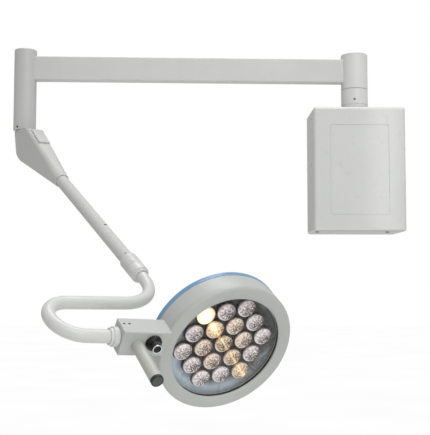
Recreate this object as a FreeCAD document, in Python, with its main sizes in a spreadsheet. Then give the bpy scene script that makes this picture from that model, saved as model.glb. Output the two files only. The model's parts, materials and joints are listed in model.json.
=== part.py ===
import FreeCAD, Part
import math
import os
import Sketcher

# Wall-mounted surgical light: wall box and post, horizontal arm, sprung arm, bent tube, lamp head.
# Millimetres, +Z up, +Y into the wall.
# Origin: centre of the wall bolt pattern on the back face of the wall box.
# Each sub-part is modelled in the frame of the joint that carries it (see Frames).

Vector = FreeCAD.Vector
Rotation = FreeCAD.Rotation
Placement = FreeCAD.Placement
X_AXIS, Y_AXIS, Z_AXIS = Vector(1, 0, 0), Vector(0, 1, 0), Vector(0, 0, 1)

# ------------------------------------------------------------ driving dimensions
# alias, value, note
DIMENSIONS = [
    # wall box
    ("box_w", 237.0, "wall box width"), ("box_h", 322.0, "wall box height"),
    ("box_d", 146.0, "wall box depth"), ("box_wall", 3.0, "cover wall"),
    ("box_edge", 7.5, "cover corner radius"), ("box_front", 7.0, "front edge radius"),
    ("panel_w", 150.0, "service panel width"), ("panel_h", 232.0, "service panel height"),
    ("panel_gap", 0.4, "gap round the panel"), ("panel_sink", 1.6, "panel recess depth"),
    ("panel_z", -2.0, "panel centre height"),
    ("foot_x", 90.0, "underside screws, half spacing"),
    ("foot_c", -18.5, "underside screws, offset"),
    ("plate_t", 3.0, "back plate thickness"), ("bolt_dx", 180.0, "wall holes across"),
    ("bolt_dz", 240.0, "wall holes up"), ("bolt_hole", 4.5, "wall hole radius"),
    ("cable_z", 34.0, "cable entry height"),
    # post
    ("post_y", 73.0, "post axis in front of the wall"), ("post_rad", 35.0, "post radius"),
    ("spindle_rad", 20.0, "post spindle radius"), ("base_top", 177.0, "top of the post base"),
    ("collar_top", 218.5, "top of the fixed collar"),
    ("hub_top", 310.4, "top of the hub sleeve"), ("cable_rad", 8.0, "cable bore radius"),
    ("bush_wall", 5.0, "hub bush wall"), ("run", 0.05, "running clearance"),
    # main arm
    ("arm_len", 869.7, "post axis to elbow axis"), ("arm_z", 268.2, "arm centre height"),
    ("arm_h", 63.2, "arm section height"), ("arm_w", 30.0, "arm section width"),
    ("arm_wall", 3.0, "arm wall"), ("arm_edge", 4.0, "arm edge radius"),
    # elbow
    ("elbow_rad", 29.0, "elbow tube radius"), ("elbow_in", 25.5, "elbow tube inner radius"),
    ("elbow_bot", 104.0, "elbow tube bottom"), ("elbow_top", 314.6, "elbow tube top"),
    ("kspin_rad", 15.0, "knuckle spindle radius"),
    # knuckle and pivot
    ("pivot_z0", 89.84, "spring tube line meets the elbow axis"),
    ("pivot_x", 35.4, "pivot along the spring arm"), ("pin_rad", 6.0, "pivot pin radius"),
    ("cheek_out", 17.5, "fork half width"), ("cheek_in", 12.5, "fork inner half width"),
    ("anchor", 15.0, "spring anchor pin above the pivot"),
    ("anchor_rad", 3.0, "anchor pin radius"),
    # spring arm
    ("tube_rad", 15.0, "spring tube radius"), ("tube_in", 12.0, "spring tube inner radius"),
    ("tube_start", 80.0, "spring tube start"), ("collar_x", 634.0, "end collar start"),
    ("joint_x", 669.0, "swivel seam"), ("ring_end", 699.0, "swivel ring end"),
    ("collar_rad", 19.0, "end collar radius"), ("boot_w", 23.0, "cover half width"),
    ("boot_x", 60.0, "cover widest section"), ("boot_end", 262.0, "cover mouth"),
    ("boot_t", 2.0, "cover wall"), ("boot_lo", 47.5, "cover depth below the axis"),
    ("boot_hi", 42.3, "cover height above the axis"), ("mouth", 17.4, "cover mouth radius"),
    ("nut_x", 500.0, "tension nut"),
    # s tube
    ("bend_x", 710.0, "first bend start"), ("s_rad", 12.5, "bent tube radius"),
    ("s_in", 10.0, "bent tube inner radius"), ("bend_one", 90.7, "first bend radius"),
    ("leg_two", 123.7, "upper leg"), ("bend_two", 53.25, "second bend radius"),
    ("turn_two", 172.57, "second bend angle"), ("leg_three", 50.0, "lower leg"),
    # lamp block
    ("blk_x", 59.6, "block start"), ("blk_w", 50.6, "block width"),
    ("blk_d", 44.0, "block depth"), ("lamp_x", 283.9, "lamp axis along the block axis"),
    ("lamp_w", -3.7, "lamp axis below the block axis"),
    ("lspin_rad", 10.0, "lamp spindle radius"), ("bore_rad", 13.0, "block bore radius"),
    ("knob_x", 120.9, "knob along the block"), ("knob_y", 4.8, "knob across the block"),
    ("hand_x", 91.9, "handle along the block"), ("hand_y", -2.6, "handle across the block"),
    ("hand_rad", 11.5, "handle radius"), ("hand_len", 97.0, "handle length"),
    # lamp head
    ("lamp_rad", 136.0, "lamp radius"), ("lamp_in", 133.0, "housing inner radius"),
    ("glass_rad", 110.0, "visible glass radius"), ("rim_z", 11.0, "bezel front"),
    ("rear_z", 35.5, "housing rear"), ("ring_z", 46.0, "rear ring end"),
    ("dome_z", 54.5, "rear cover top"), ("led_pitch", 41.5, "lens pitch"),
    ("lens_rad", 18.0, "lens radius"), ("lens_top", 3.0, "lens front below the lamp plane"),
    ("led_turn", 15.98, "lens pattern turn"),
    ("led_dx", -1.1, "lens pattern off centre, along"),
    ("led_dy", 3.7, "lens pattern off centre, across"),
    # rest angles, degrees
    ("ang_arm", 1.23, "main arm yaw"), ("ang_fork", -55.05, "spring arm heading"),
    ("ang_dip", 32.01, "spring arm dip"), ("ang_roll", 1.33, "bent tube roll"),
    ("ang_lamp", 90.96, "lamp roll"), ("blk_roll", 1.9, "block roll"),
    ("blk_swing", 0.9, "block swing"), ("blk_turn", 1.95, "block turn"),
]

OPERATIONS = {
    "+": lambda a, b: a + b,
    "-": lambda a, b: a - b,
    "*": lambda a, b: a * b,
    "/": lambda a, b: a / b,
}


class Dim:
    """A number that remembers the sheet expression it comes from."""

    def __init__(self, value, text):
        self.value = value
        self.text = text

    def __float__(self): return self.value
    def __add__(self, other): return combine(self, "+", other)
    def __radd__(self, other): return combine(other, "+", self)
    def __sub__(self, other): return combine(self, "-", other)
    def __rsub__(self, other): return combine(other, "-", self)
    def __mul__(self, other): return combine(self, "*", other)
    def __rmul__(self, other): return combine(other, "*", self)
    def __truediv__(self, other): return combine(self, "/", other)
    def __neg__(self): return combine(0, "-", self)


def as_dim(number):
    return number if isinstance(number, Dim) else Dim(float(number), repr(float(number)))


def combine(first, sign, second):
    a, b = as_dim(first), as_dim(second)
    return Dim(OPERATIONS[sign](a.value, b.value), "(%s %s %s)" % (a.text, sign, b.text))


class Names:
    """Holder for values by alias."""


doc = FreeCAD.newDocument("surgical_light")
sheet = doc.addObject("Spreadsheet::Sheet", "Dims")
dim = Names()   # linked to the sheet, for bound properties
size = Names()  # plain numbers, for placements and arithmetic
for row, (alias, number, note) in enumerate(DIMENSIONS, 1):
    sheet.set("A%d" % row, note)
    sheet.set("B%d" % row, repr(number))
    sheet.setAlias("B%d" % row, alias)
    setattr(dim, alias, Dim(number, "Dims." + alias))
    setattr(size, alias, number)
doc.recompute()


# ------------------------------------------------------------ primitives
AIM = {"x": Rotation(Y_AXIS, 90), "y": Rotation(X_AXIS, -90), "-y": Rotation(X_AXIS, 90),
       "z": Rotation()}


def bind(obj, prop, value):
    setattr(obj, prop, float(value))
    if isinstance(value, Dim):
        obj.setExpression(prop, value.text)


def place(obj, x, y, z, rotation=AIM["z"]):
    obj.Placement = Placement(Vector(float(x), float(y), float(z)), rotation)
    for axis, value in (("x", x), ("y", y), ("z", z)):
        if isinstance(value, Dim):
            obj.setExpression("Placement.Base." + axis, value.text)
    return obj


def box(name, length, width, height, x, y, z):
    """Box centred on x, y, z."""
    obj = doc.addObject("Part::Box", name)
    bind(obj, "Length", length)
    bind(obj, "Width", width)
    bind(obj, "Height", height)
    corner = [as_dim(centre) - as_dim(span) / 2
              for centre, span in ((x, length), (y, width), (z, height))]
    return place(obj, *corner)


def tilt(obj, degrees):
    """Turn a box about the X line through its own first corner."""
    obj.Placement = Placement(obj.Placement.Base, Rotation(X_AXIS, degrees))
    return obj


def cyl(name, radius, length, x=0, y=0, z=0, axis="z"):
    """Cylinder starting at x, y, z and running along axis."""
    obj = doc.addObject("Part::Cylinder", name)
    bind(obj, "Radius", radius)
    bind(obj, "Height", length)
    return place(obj, x, y, z, AIM[axis])


def cone(name, radius1, radius2, length, x, y, z):
    obj = doc.addObject("Part::Cone", name)
    bind(obj, "Radius1", radius1)
    bind(obj, "Radius2", radius2)
    bind(obj, "Height", length)
    return place(obj, x, y, z)


def torus(name, bend, radius, sweep, x, y, z, start):
    """Ring section in the XY plane from angle start, through sweep degrees."""
    obj = doc.addObject("Part::Torus", name)
    bind(obj, "Radius1", bend)
    bind(obj, "Radius2", radius)
    bind(obj, "Angle3", sweep)
    return place(obj, x, y, z, Rotation(Z_AXIS, start))


def fuse(name, *objs):
    obj = doc.addObject("Part::MultiFuse", name)
    obj.Shapes = list(objs)
    obj.Refine = True
    return obj


def cut(name, base, *tools):
    obj = doc.addObject("Part::Cut", name)
    obj.Base = base
    obj.Tool = tools[0] if len(tools) == 1 else fuse(name + "_tools", *tools)
    return obj


def common(name, base, tool):
    obj = doc.addObject("Part::Common", name)
    obj.Base = base
    obj.Tool = tool
    return obj


def group(name, *objs):
    """Compound, for separate solids of one kind."""
    obj = doc.addObject("Part::Compound", name)
    obj.Links = list(objs)
    return obj


def tube(name, outer, inner, length, x=0, y=0, z=0, axis="z"):
    """Plain tube or ring; the bore tool is 1 mm longer at each end."""
    start = {"x": x, "y": y, "z": z}
    start[axis] = start[axis] - 1.0
    solid = cyl(name + "_outer", outer, length, x, y, z, axis)
    bore = cyl(name + "_inner", inner, length + 2, axis=axis, **start)
    return cut(name, solid, bore)


def screw(name, head, shank, x, y, z, axis="z"):
    """Screw from its head end at x, y, z; head and shank are (radius, length)."""
    step = {"y": (0, 1, 0), "-y": (0, -1, 0), "z": (0, 0, 1)}[axis]
    seat = [start + s * head[1] for start, s in zip((x, y, z), step)]
    return fuse(name, cyl(name + "_head", *head, x, y, z, axis),
                cyl(name + "_shank", *shank, *seat, axis))


def ring(count, radius, start=0):
    """Evenly spaced (x, y) points on a circle, from start degrees."""
    angles = [math.radians(start + 360 / count * i) for i in range(count)]
    return [(radius * math.cos(a), radius * math.sin(a)) for a in angles]


# ------------------------------------------------------------ rounding
def middle(edge):
    return edge.valueAt((edge.FirstParameter + edge.LastParameter) / 2)


def along(axis):
    """Picks straight edges parallel to an axis."""
    def pick(edge):
        if not isinstance(edge.Curve, Part.Line):
            return False
        run = edge.Vertexes[-1].Point - edge.Vertexes[0].Point
        return abs(abs(getattr(run.normalize(), axis)) - 1) < 1e-6
    return pick


def level(axis, value):
    """Picks edges whose middle lies at a value on an axis."""
    return lambda edge: abs(getattr(middle(edge), axis) - value) < 0.01


def fillet(name, base, radius, pick):
    doc.recompute()
    obj = doc.addObject("Part::Fillet", name)
    obj.Base = base
    obj.Edges = [(i, float(radius), float(radius))
                 for i, edge in enumerate(base.Shape.Edges, 1) if pick(edge)]
    return obj


# ------------------------------------------------------------ bodies
def sketch(body, name, role, points):
    """Closed straight outline; every corner is dimensioned from the origin."""
    obj = body.newObject("Sketcher::SketchObject", name)
    plane = [f for f in body.Origin.OriginFeatures if f.Role == role][0]
    obj.AttachmentSupport = [(plane, "")]
    obj.MapMode = "FlatFace"
    count = len(points)
    corners = [Vector(float(x), float(y), 0) for x, y in points]
    for i in range(count):
        obj.addGeometry(Part.LineSegment(corners[i], corners[(i + 1) % count]), False)
    for i in range(count):
        obj.addConstraint(Sketcher.Constraint("Coincident", i, 2, (i + 1) % count, 1))
    for i, (x, y) in enumerate(points):
        for kind, value, zero_line in (("DistanceX", x, -2), ("DistanceY", y, -1)):
            if abs(float(value)) < 1e-9:
                obj.addConstraint(Sketcher.Constraint("PointOnObject", i, 1, zero_line))
                continue
            index = obj.addConstraint(Sketcher.Constraint(kind, -1, 1, i, 1, float(value)))
            if isinstance(value, Dim):
                obj.setExpression("Constraints[%d]" % index, value.text)
    return obj


def lathe(name, points):
    """Body turned about Z from a (radius, height) outline."""
    body = doc.addObject("PartDesign::Body", name)
    profile = sketch(body, name + "_profile", "XZ_Plane", points)
    turned = body.newObject("PartDesign::Revolution", name + "_turned")
    turned.Profile = profile
    turned.ReferenceAxis = (profile, ["V_Axis"])
    turned.Angle = 360
    body.Tip = turned
    profile.Visibility = False
    return body


def pad(name, role, points, length):
    """Body padded evenly to both sides of an origin plane."""
    body = doc.addObject("PartDesign::Body", name)
    solid = body.newObject
    profile = sketch(body, name + "_profile", role, points)
    solid = body.newObject("PartDesign::Pad", name + "_pad")
    solid.Profile = profile
    bind(solid, "Length", length)
    solid.Midplane = True
    body.Tip = solid
    return body


def soften(body, name, radius, pick):
    """Rounded edges on a body."""
    doc.recompute()
    base = body.Tip
    obj = body.newObject("PartDesign::Fillet", name)
    edges = ["Edge%d" % i for i, edge in enumerate(base.Shape.Edges, 1) if pick(edge)]
    obj.Base = (base, edges)
    bind(obj, "Radius", radius)
    body.Tip = obj


# ------------------------------------------------------------ frames
def frame(origin, x, z):
    """Placement with its X along x and its Z along z."""
    x = Vector(x).normalize()
    z = Vector(z).normalize()
    y = z.cross(x)
    return Placement(FreeCAD.Matrix(x.x, y.x, z.x, origin.x, x.y, y.y, z.y, origin.y,
                                    x.z, y.z, z.z, origin.z, 0, 0, 0, 1))


def aimed_along(base, x):
    """Frame for a turned part whose own Z runs along base's X, starting at x."""
    return Placement(base.multVec(Vector(x, 0, 0)), base.Rotation * AIM["x"])


WALL = Placement()
POST = Placement(Vector(0, -size.post_y, 0), Rotation())
# The main arm runs along -X of its frame.
ARM = Placement(POST.Base, Rotation(Z_AXIS, size.ang_arm))
TO_ELBOW = Placement(Vector(-size.arm_len, 0, 0), Rotation())
elbow = ARM.multVec(TO_ELBOW.Base)
ELBOW = Placement(elbow, ARM.Rotation)
FORK = Placement(elbow, Rotation(Z_AXIS, size.ang_fork))

# Spring arm: X down the tube, Y level, Z on the upper side.
heading, dip = math.radians(size.ang_fork), math.radians(size.ang_dip)
arm_start = Vector(elbow.x, elbow.y, size.pivot_z0)
tube_dir = Vector(math.cos(dip) * math.cos(heading), math.cos(dip) * math.sin(heading),
                  -math.sin(dip))
level_dir = Vector(-math.sin(heading), math.cos(heading), 0)
upper_dir = tube_dir.cross(level_dir)
LIFT = frame(arm_start, tube_dir, upper_dir)

# Bent tube: X as the spring arm, Y along the upper leg.
roll = math.radians(size.ang_roll)
leg_dir = level_dir * (-math.cos(roll)) + upper_dir * math.sin(roll)
BENT = frame(arm_start, tube_dir, tube_dir.cross(leg_dir))

# Lamp: X from the end of the return bend to the lamp axis, Z out through the glass.
turn = math.radians(size.turn_two)
lamp_dir = tube_dir * math.sin(turn) + leg_dir * math.cos(turn)
leg_end = (arm_start + tube_dir * (size.bend_x + size.bend_one)
           + leg_dir * (size.bend_one + size.leg_two))
bend_end = (leg_end + tube_dir * size.bend_two * (1 - math.cos(turn))
            + leg_dir * size.bend_two * math.sin(turn))
bend_normal = tube_dir.cross(lamp_dir).normalize()
bend_side = lamp_dir.cross(bend_normal).normalize()
lamp_roll = math.radians(size.ang_lamp)
glass_dir = bend_normal * (-math.cos(lamp_roll)) + bend_side * math.sin(lamp_roll)
LAMP_ROOT = frame(bend_end, lamp_dir, glass_dir)
LAMP = Placement(LAMP_ROOT.multVec(Vector(size.lamp_x, size.lamp_w, 0)), LAMP_ROOT.Rotation)

# The block and its spindle sit slightly turned against the lamp plane.
skew = (Rotation(Z_AXIS, size.blk_turn) * Rotation(Y_AXIS, size.blk_swing)
        * Rotation(X_AXIS, size.blk_roll))
BLOCK = Placement(bend_end, LAMP_ROOT.Rotation * skew)
BLOCK_IN_BENT = BENT.inverse().multiply(BLOCK)
LAMP_IN_BLOCK = BLOCK.inverse().multiply(LAMP)


def block_face(x, y):
    """Frame on the front face of the lamp block."""
    return Placement(BLOCK.multVec(Vector(x, y, size.blk_d / 2)), BLOCK.Rotation)


HANDLE = block_face(size.hand_x, size.hand_y)
KNOB = block_face(size.knob_x, size.knob_y)

PARTS = []


def part(placement):
    """Build the decorated sub-part now, labelled with the function's name.

    No other object may carry that name, or the label would gain a number."""
    def build(make):
        piece = make()
        piece.Label = make.__name__
        piece.Placement = placement
        PARTS.append(piece)
        return make
    return build


# ============================================================ WALL UNIT
CORNERS = ((1, 1), (-1, 1), (-1, -1), (1, -1))
inner_w = dim.box_w - 2 * dim.box_wall
inner_h = dim.box_h - 2 * dim.box_wall
inner_edge = dim.box_edge - dim.box_wall
box_top = dim.box_h / 2
box_bottom = -dim.box_h / 2
plate_front = -dim.plate_t
foot_xs = [side * dim.foot_x + dim.foot_c for side in (-1, 1)]
foot_y = -dim.box_d + 20
foot_z = box_bottom + dim.box_wall + 4.2   # centre height of the lugs and rails

BOARD_X, BOARD_Z = -58, -78                # control board centre
BOARD_POINTS = [(BOARD_X + i * 39, BOARD_Z + j * 55) for i, j in CORNERS]

shelf_top = box_top - dim.box_wall
bracket_bolts = [(x, shelf_top - drop) for drop in (30, 80) for x in (-38, 38)]
BASE_BOLTS = ring(4, 28, 45)               # about the post axis


@part(WALL)
def wall_back_plate():
    """Plate with wall holes, cable hole, two foot lugs on rails and board stand-offs."""
    blank = box("plate_blank", inner_w - 1, dim.plate_t, inner_h - 1, 0, -dim.plate_t / 2, 0)
    plate = fillet("plate_round", blank, inner_edge, along("y"))
    holes = [cyl("wall_hole", dim.bolt_hole, 10, i * dim.bolt_dx / 2, -5,
                 j * dim.bolt_dz / 2, "y") for i, j in CORNERS]
    holes.append(cyl("cable_hole", 16, 10, 0, -5, dim.cable_z, "y"))
    lugs = [cut("lug", box("lug_block", 10, 14, 6, x, foot_y, foot_z),
                cyl("lug_hole", 2.05, 12, x, foot_y, box_bottom)) for x in foot_xs]
    rail_len = dim.box_d - 26
    rails = [box("rail", 8, rail_len, 6, x, -rail_len / 2, foot_z) for x in foot_xs]
    standoffs = [tube("standoff", 3.5, 1.6, 12.5, x, -15, z, "y") for x, z in BOARD_POINTS]
    return fuse("plate_all", cut("plate_drilled", plate, *holes), *lugs, *rails, *standoffs)


@part(WALL)
def wall_box_cover():
    """Rounded shell open at the back, with a sunk field for the service panel."""
    blank = box("cover_blank", dim.box_w, dim.box_d - 1, dim.box_h, 0, -(dim.box_d + 1) / 2, 0)
    corners = fillet("cover_corners", blank, dim.box_edge, along("y"))
    outside = fillet("cover_front", corners, dim.box_front, level("y", -size.box_d))
    hollow = box("cover_hollow", inner_w, dim.box_d, inner_h,
                 0, -dim.box_d / 2 + dim.box_wall, 0)
    inside = fillet("cover_inside", hollow, inner_edge, along("y"))
    field = box("panel_field", dim.panel_w + 2 * dim.panel_gap, 4,
                dim.panel_h + 2 * dim.panel_gap, 0, -dim.box_d + dim.panel_sink - 2, dim.panel_z)
    recess = fillet("panel_recess", field, 4, along("y"))
    holes = [cyl("spindle_hole", dim.spindle_rad + 0.5, 20, 0, -dim.post_y, box_top - 10)]
    holes += [cyl("bolt_hole", 3.3, 20, x, -dim.post_y + y, box_top - 10)
              for x, y in BASE_BOLTS]
    holes += [cyl("foot_hole", 2.2, 20, x, foot_y, box_bottom - 5) for x in foot_xs]
    # slots in the +X side
    slots = [box("side_slot", 8, 40, 2.6, dim.box_w / 2, -70, -60 - 8 * i) for i in range(8)]
    return cut("cover_cut", outside, inside, recess, *holes, *slots)


@part(WALL)
def front_service_panel():
    thick = dim.panel_sink - 0.5
    blank = box("panel_blank", dim.panel_w, thick, dim.panel_h,
                0, -dim.box_d + dim.panel_sink - thick / 2, dim.panel_z)
    return fillet("panel_round", blank, 4, along("y"))


@part(WALL)
def underside_screws():
    return group("foot_screws", *[screw("foot_screw", (4, 2), (2, 8.95), x, foot_y,
                                        box_bottom - 2) for x in foot_xs])


@part(WALL)
def post_bracket():
    """Upright on the back plate, shelf under the cover top and two gussets."""
    upright = box("upright", 120, 6, 100, 0, plate_front - 3, shelf_top - 50)
    shelf = box("shelf", 120, 112, 8, 0, plate_front - 56, shelf_top - 4)
    gussets = []
    for x in (-52, 52):
        # y, z
        gusset = pad("gusset", "YZ_Plane", [
            (plate_front - 6, shelf_top - 8), (plate_front - 96, shelf_top - 8),
            (plate_front - 6, shelf_top - 92)], 5)
        gusset.Placement = Placement(Vector(x, 0, 0), Rotation())
        gussets.append(gusset)
    bore = cyl("shelf_bore", dim.spindle_rad + dim.run, 20, 0, -dim.post_y, shelf_top - 14)
    wall_holes = [cyl("upright_hole", 4.2, 12, x, plate_front - 8, z, "y")
                  for x, z in bracket_bolts]
    base_holes = [cyl("shelf_hole", 2.55, 20, x, -dim.post_y + y, shelf_top - 14)
                  for x, y in BASE_BOLTS]
    return cut("bracket_cut", fuse("bracket_all", upright, shelf, *gussets),
               bore, *wall_holes, *base_holes)


# post: base flange, hollow spindle, fixed collar and its screw
spindle_fit = dim.spindle_rad + dim.run
COLLAR_TURN = Placement(Vector(0, 0, 0), Rotation(Z_AXIS, -9.0))
COLLAR_SCREW_Z = 189.0


@part(POST)
def post_base():
    top = dim.base_top - 0.2
    flange = lathe("base_flange", [
        (spindle_fit, box_top), (dim.post_rad, box_top), (dim.post_rad, dim.base_top - 1.2),
        (dim.post_rad - 1, top), (spindle_fit, top)])
    return cut("base_cut", flange,
               *[cyl("base_hole", 2.55, 12, x, y, box_top - 1) for x, y in BASE_BOLTS])


@part(POST)
def post_spindle():
    """Hollow spindle with a flange under the shelf and a groove near the top."""
    flange = dim.spindle_rad + 3.4
    return lathe("post_spindle_body", [
        (dim.cable_rad, shelf_top - 14), (flange, shelf_top - 14), (flange, shelf_top - 8),
        (dim.spindle_rad, shelf_top - 8), (dim.spindle_rad, 299.0), (17.9, 299.0),
        (17.9, 301.2), (dim.spindle_rad, 301.2), (dim.spindle_rad, 304.0),
        (dim.cable_rad, 304.0)])


@part(POST)
def post_collar():
    edge = dim.post_rad - 0.8
    collar = lathe("fixed_collar", [
        (spindle_fit, dim.base_top), (edge, dim.base_top), (dim.post_rad, dim.base_top + 0.8),
        (dim.post_rad, dim.collar_top - 0.8), (edge, dim.collar_top),
        (spindle_fit, dim.collar_top)])
    hole = cyl("collar_hole", 3.05, 30, 0, -15, COLLAR_SCREW_Z, "-y")
    hole.Placement = COLLAR_TURN.multiply(hole.Placement)
    return cut("collar_cut", collar, hole)


@part(WALL)
def post_fasteners():
    """Bracket bolts, post base bolts and the collar screw."""
    wall_bolts = [screw("bracket_bolt", (7, 5), (4, 6), x, plate_front - 11, z, "y")
                  for x, z in bracket_bolts]
    base_bolts = [screw("base_bolt", (4.2, 4), (2.5, 19.9), x, y, shelf_top - 12)
                  for x, y in BASE_BOLTS]
    for bolt in base_bolts:
        bolt.Placement = POST
    collar_screw = cut("collar_screw",
                       cyl("collar_shank", 3, 13.2, 0, -spindle_fit, COLLAR_SCREW_Z, "-y"),
                       cyl("collar_socket", 1.5, 4, 0, -30.5, COLLAR_SCREW_Z, "-y"))
    collar_screw.Placement = POST.multiply(COLLAR_TURN)
    return group("fasteners", *wall_bolts, *base_bolts, collar_screw)


# electrics inside the box
@part(WALL)
def power_supply():
    case = box("supply_case", 96, 42, 150, 55, plate_front - 21, -62)
    rounded = fillet("supply_round", case, 1.5, along("z"))
    return cut("supply_cut", rounded, *[
        box("supply_slot", 60, 3, 2.5, 55, plate_front - 42, -110 + 8 * i) for i in range(9)])


@part(WALL)
def control_board():
    board = box("board", 88, 1.6, 120, BOARD_X, plate_front - 12.85, BOARD_Z)
    holes = [cyl("board_hole", 1.7, 6, x, plate_front - 16, z, "y") for x, z in BOARD_POINTS]
    cans = [cyl("board_can", 8, 18, x, plate_front - 13.6, -40, "-y") for x in (-80, -60)]
    # length, depth, height, x, distance of the centre in front of the plate, z
    blocks = [(26, 12, 20, -40, 19.6, -110), (14, 3, 14, -75, 15.1, -100),
              (30, 10, 8, -60, 18.6, -130)]
    blocks = [box("board_block", length, depth, height, x, plate_front - out, z)
              for length, depth, height, x, out, z in blocks]
    return fuse("board_all", cut("board_cut", board, *holes), *cans, *blocks)


@part(WALL)
def mains_terminal_block():
    block = box("terminal_body", 60, 18, 20, -55, plate_front - 9, 40)
    return cut("terminal_cut", block, *[
        cyl("terminal_hole", 2.4, 6, -77.5 + 9 * i, plate_front - 20, 40, "y")
        for i in range(6)])


@part(Placement(Vector(0, -0.25, size.cable_z), Rotation(X_AXIS, -90)))
def cable_grommet():
    return lathe("grommet", [(8, -6), (19, -6), (19, -4), (15.9, -3.0), (15.9, 0.2), (8, 0.2)])


# ============================================================ MAIN ARM
bush_rad = dim.spindle_rad + dim.bush_wall
hub_bottom = dim.collar_top + 1.1
arm_inner_w = dim.arm_w - 2 * dim.arm_wall
arm_inner_h = dim.arm_h - 2 * dim.arm_wall
elbow_floor = dim.elbow_bot + 2.5
elbow_bush_rad = dim.elbow_in - 0.02
knuckle_fit = dim.kspin_rad + dim.run
STOP_TURN = Rotation(Z_AXIS, -119.5 - size.ang_arm)   # heading of the elbow stop screw
STOP_Z = 110.6


def arm_hollow(length, x):
    """Opening the size of the arm's inside."""
    return box("arm_hollow", length, arm_inner_w, arm_inner_h, x, 0, dim.arm_z)


def stop_cyl(name, radius, length, start):
    """Cylinder on the stop screw's line, starting that far from the elbow axis."""
    obj = cyl(name, radius, length, axis="x")
    obj.Placement = Placement(STOP_TURN.multVec(Vector(start, 0, 0)) + Vector(0, 0, STOP_Z),
                              STOP_TURN * AIM["x"])
    return obj


def end_cap(name, radius, z, spigot_rad, spigot_bore, depth):
    """Bevelled disc on top of a tube, with a spigot reaching down into it."""
    disc = lathe(name + "_disc", [(0, z), (radius, z), (radius, z + 1.4), (radius - 1.6, z + 3.0),
                                  (0, z + 3.0)])
    return fuse(name, disc,
                tube(name + "_spigot", spigot_rad, spigot_bore, depth, 0, 0, z - depth))


@part(POST)
def thrust_washer():
    return tube("washer", dim.post_rad - 4.0, dim.spindle_rad + 0.3, 1.0,
                0, 0, dim.collar_top + 0.05)


@part(ARM)
def arm_hub():
    sleeve = lathe("hub_sleeve", [
        (bush_rad, hub_bottom), (dim.post_rad - 0.8, hub_bottom),
        (dim.post_rad, hub_bottom + 0.8), (dim.post_rad, dim.hub_top), (bush_rad, dim.hub_top)])
    return cut("hub_cut", sleeve, arm_hollow(60, -40))


@part(POST)
def post_retaining_ring():
    return cut("post_ring_cut", tube("post_ring", 23.5, 18.0, 1.8, 0, 0, 299.2),
               box("post_ring_gap", 10, 5, 6, 22, 0, 300))


@part(ARM)
def horizontal_arm():
    """Rectangular tube, its ends saddled onto the hub and the elbow tube."""
    bar = box("arm_bar", dim.arm_len, dim.arm_w, dim.arm_h, -dim.arm_len / 2, 0, dim.arm_z)
    rounded = fillet("arm_round", bar, dim.arm_edge, along("x"))
    return cut("arm_cut", rounded, arm_hollow(dim.arm_len + 2, -dim.arm_len / 2),
               cyl("hub_saddle", dim.post_rad, 120, 0, 0, 220),
               cyl("elbow_saddle", dim.elbow_rad, 260, -dim.arm_len, 0, 90))


@part(ELBOW)
def elbow_tube():
    bore = dim.kspin_rad + 0.6
    shell = lathe("elbow_shell", [
        (bore, dim.elbow_bot), (dim.elbow_rad - 0.6, dim.elbow_bot),
        (dim.elbow_rad, dim.elbow_bot + 0.6), (dim.elbow_rad, dim.elbow_top),
        (dim.elbow_in, dim.elbow_top), (dim.elbow_in, elbow_floor), (bore, elbow_floor)])
    return cut("elbow_cut", shell, arm_hollow(30, 25), stop_cyl("stop_hole", 3.25, 20, 20))


@part(ARM)
def arm_end_caps():
    hub_cap = end_cap("hub_cap", dim.post_rad, dim.hub_top, bush_rad - 0.1,
                      dim.spindle_rad + 1.5, 4.0)
    elbow_cap = end_cap("elbow_cap", dim.elbow_rad, dim.elbow_top, dim.elbow_in - 0.1,
                        dim.elbow_in - 2, 6)
    elbow_cap.Placement = TO_ELBOW
    return group("end_caps", hub_cap, elbow_cap)


@part(ARM)
def arm_bushes():
    hub_bushes = [tube("hub_bush", bush_rad, spindle_fit, length, 0, 0, z)
                  for length, z in ((10, hub_bottom), (9, 290.0))]
    bush_top = dim.elbow_bot + 26
    blank = lathe("lower_bush", [(knuckle_fit, elbow_floor), (elbow_bush_rad, elbow_floor),
                                 (elbow_bush_rad, bush_top), (knuckle_fit, bush_top)])
    lower = cut("lower_bush_cut", blank, stop_cyl("bush_stop_hole", 3.25, 20, 20))
    upper = tube("upper_bush", elbow_bush_rad, knuckle_fit, 24, 0, 0, 205.0)
    for bush in (lower, upper):
        bush.Placement = TO_ELBOW
    return group("arm_bush_set", *hub_bushes, lower, upper)


@part(ELBOW)
def elbow_stop_screw():
    return cut("stop_cut", stop_cyl("stop_shank", 3.2, 8.4, 20.1),
               stop_cyl("stop_socket", 1.7, 3, 26.2))


# ============================================================ KNUCKLE
fork_top = dim.elbow_bot - 1.0
cheek_top = fork_top - 8
# the pivot in the fork frame
pivot_out = dim.pivot_x * math.cos(dip)
pivot_z = dim.pivot_z0 - dim.pivot_x * math.sin(dip)
anchor_z = pivot_z + dim.anchor


@part(FORK)
def knuckle_spindle():
    """Hollow spindle with a groove near the top."""
    return lathe("knuckle_spindle_body", [
        (6, fork_top), (dim.kspin_rad, fork_top), (dim.kspin_rad, 230.0), (13.4, 230.0),
        (13.4, 231.9), (dim.kspin_rad, 231.9), (dim.kspin_rad, 235.0), (6, 235.0)])


@part(FORK)
def knuckle_retaining_ring():
    return cut("knuckle_ring_cut", tube("knuckle_ring", 18.5, 13.5, 1.6, 0, 0, 230.15),
               box("knuckle_ring_gap", 8, 4, 6, 17, 0, 231))


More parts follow.
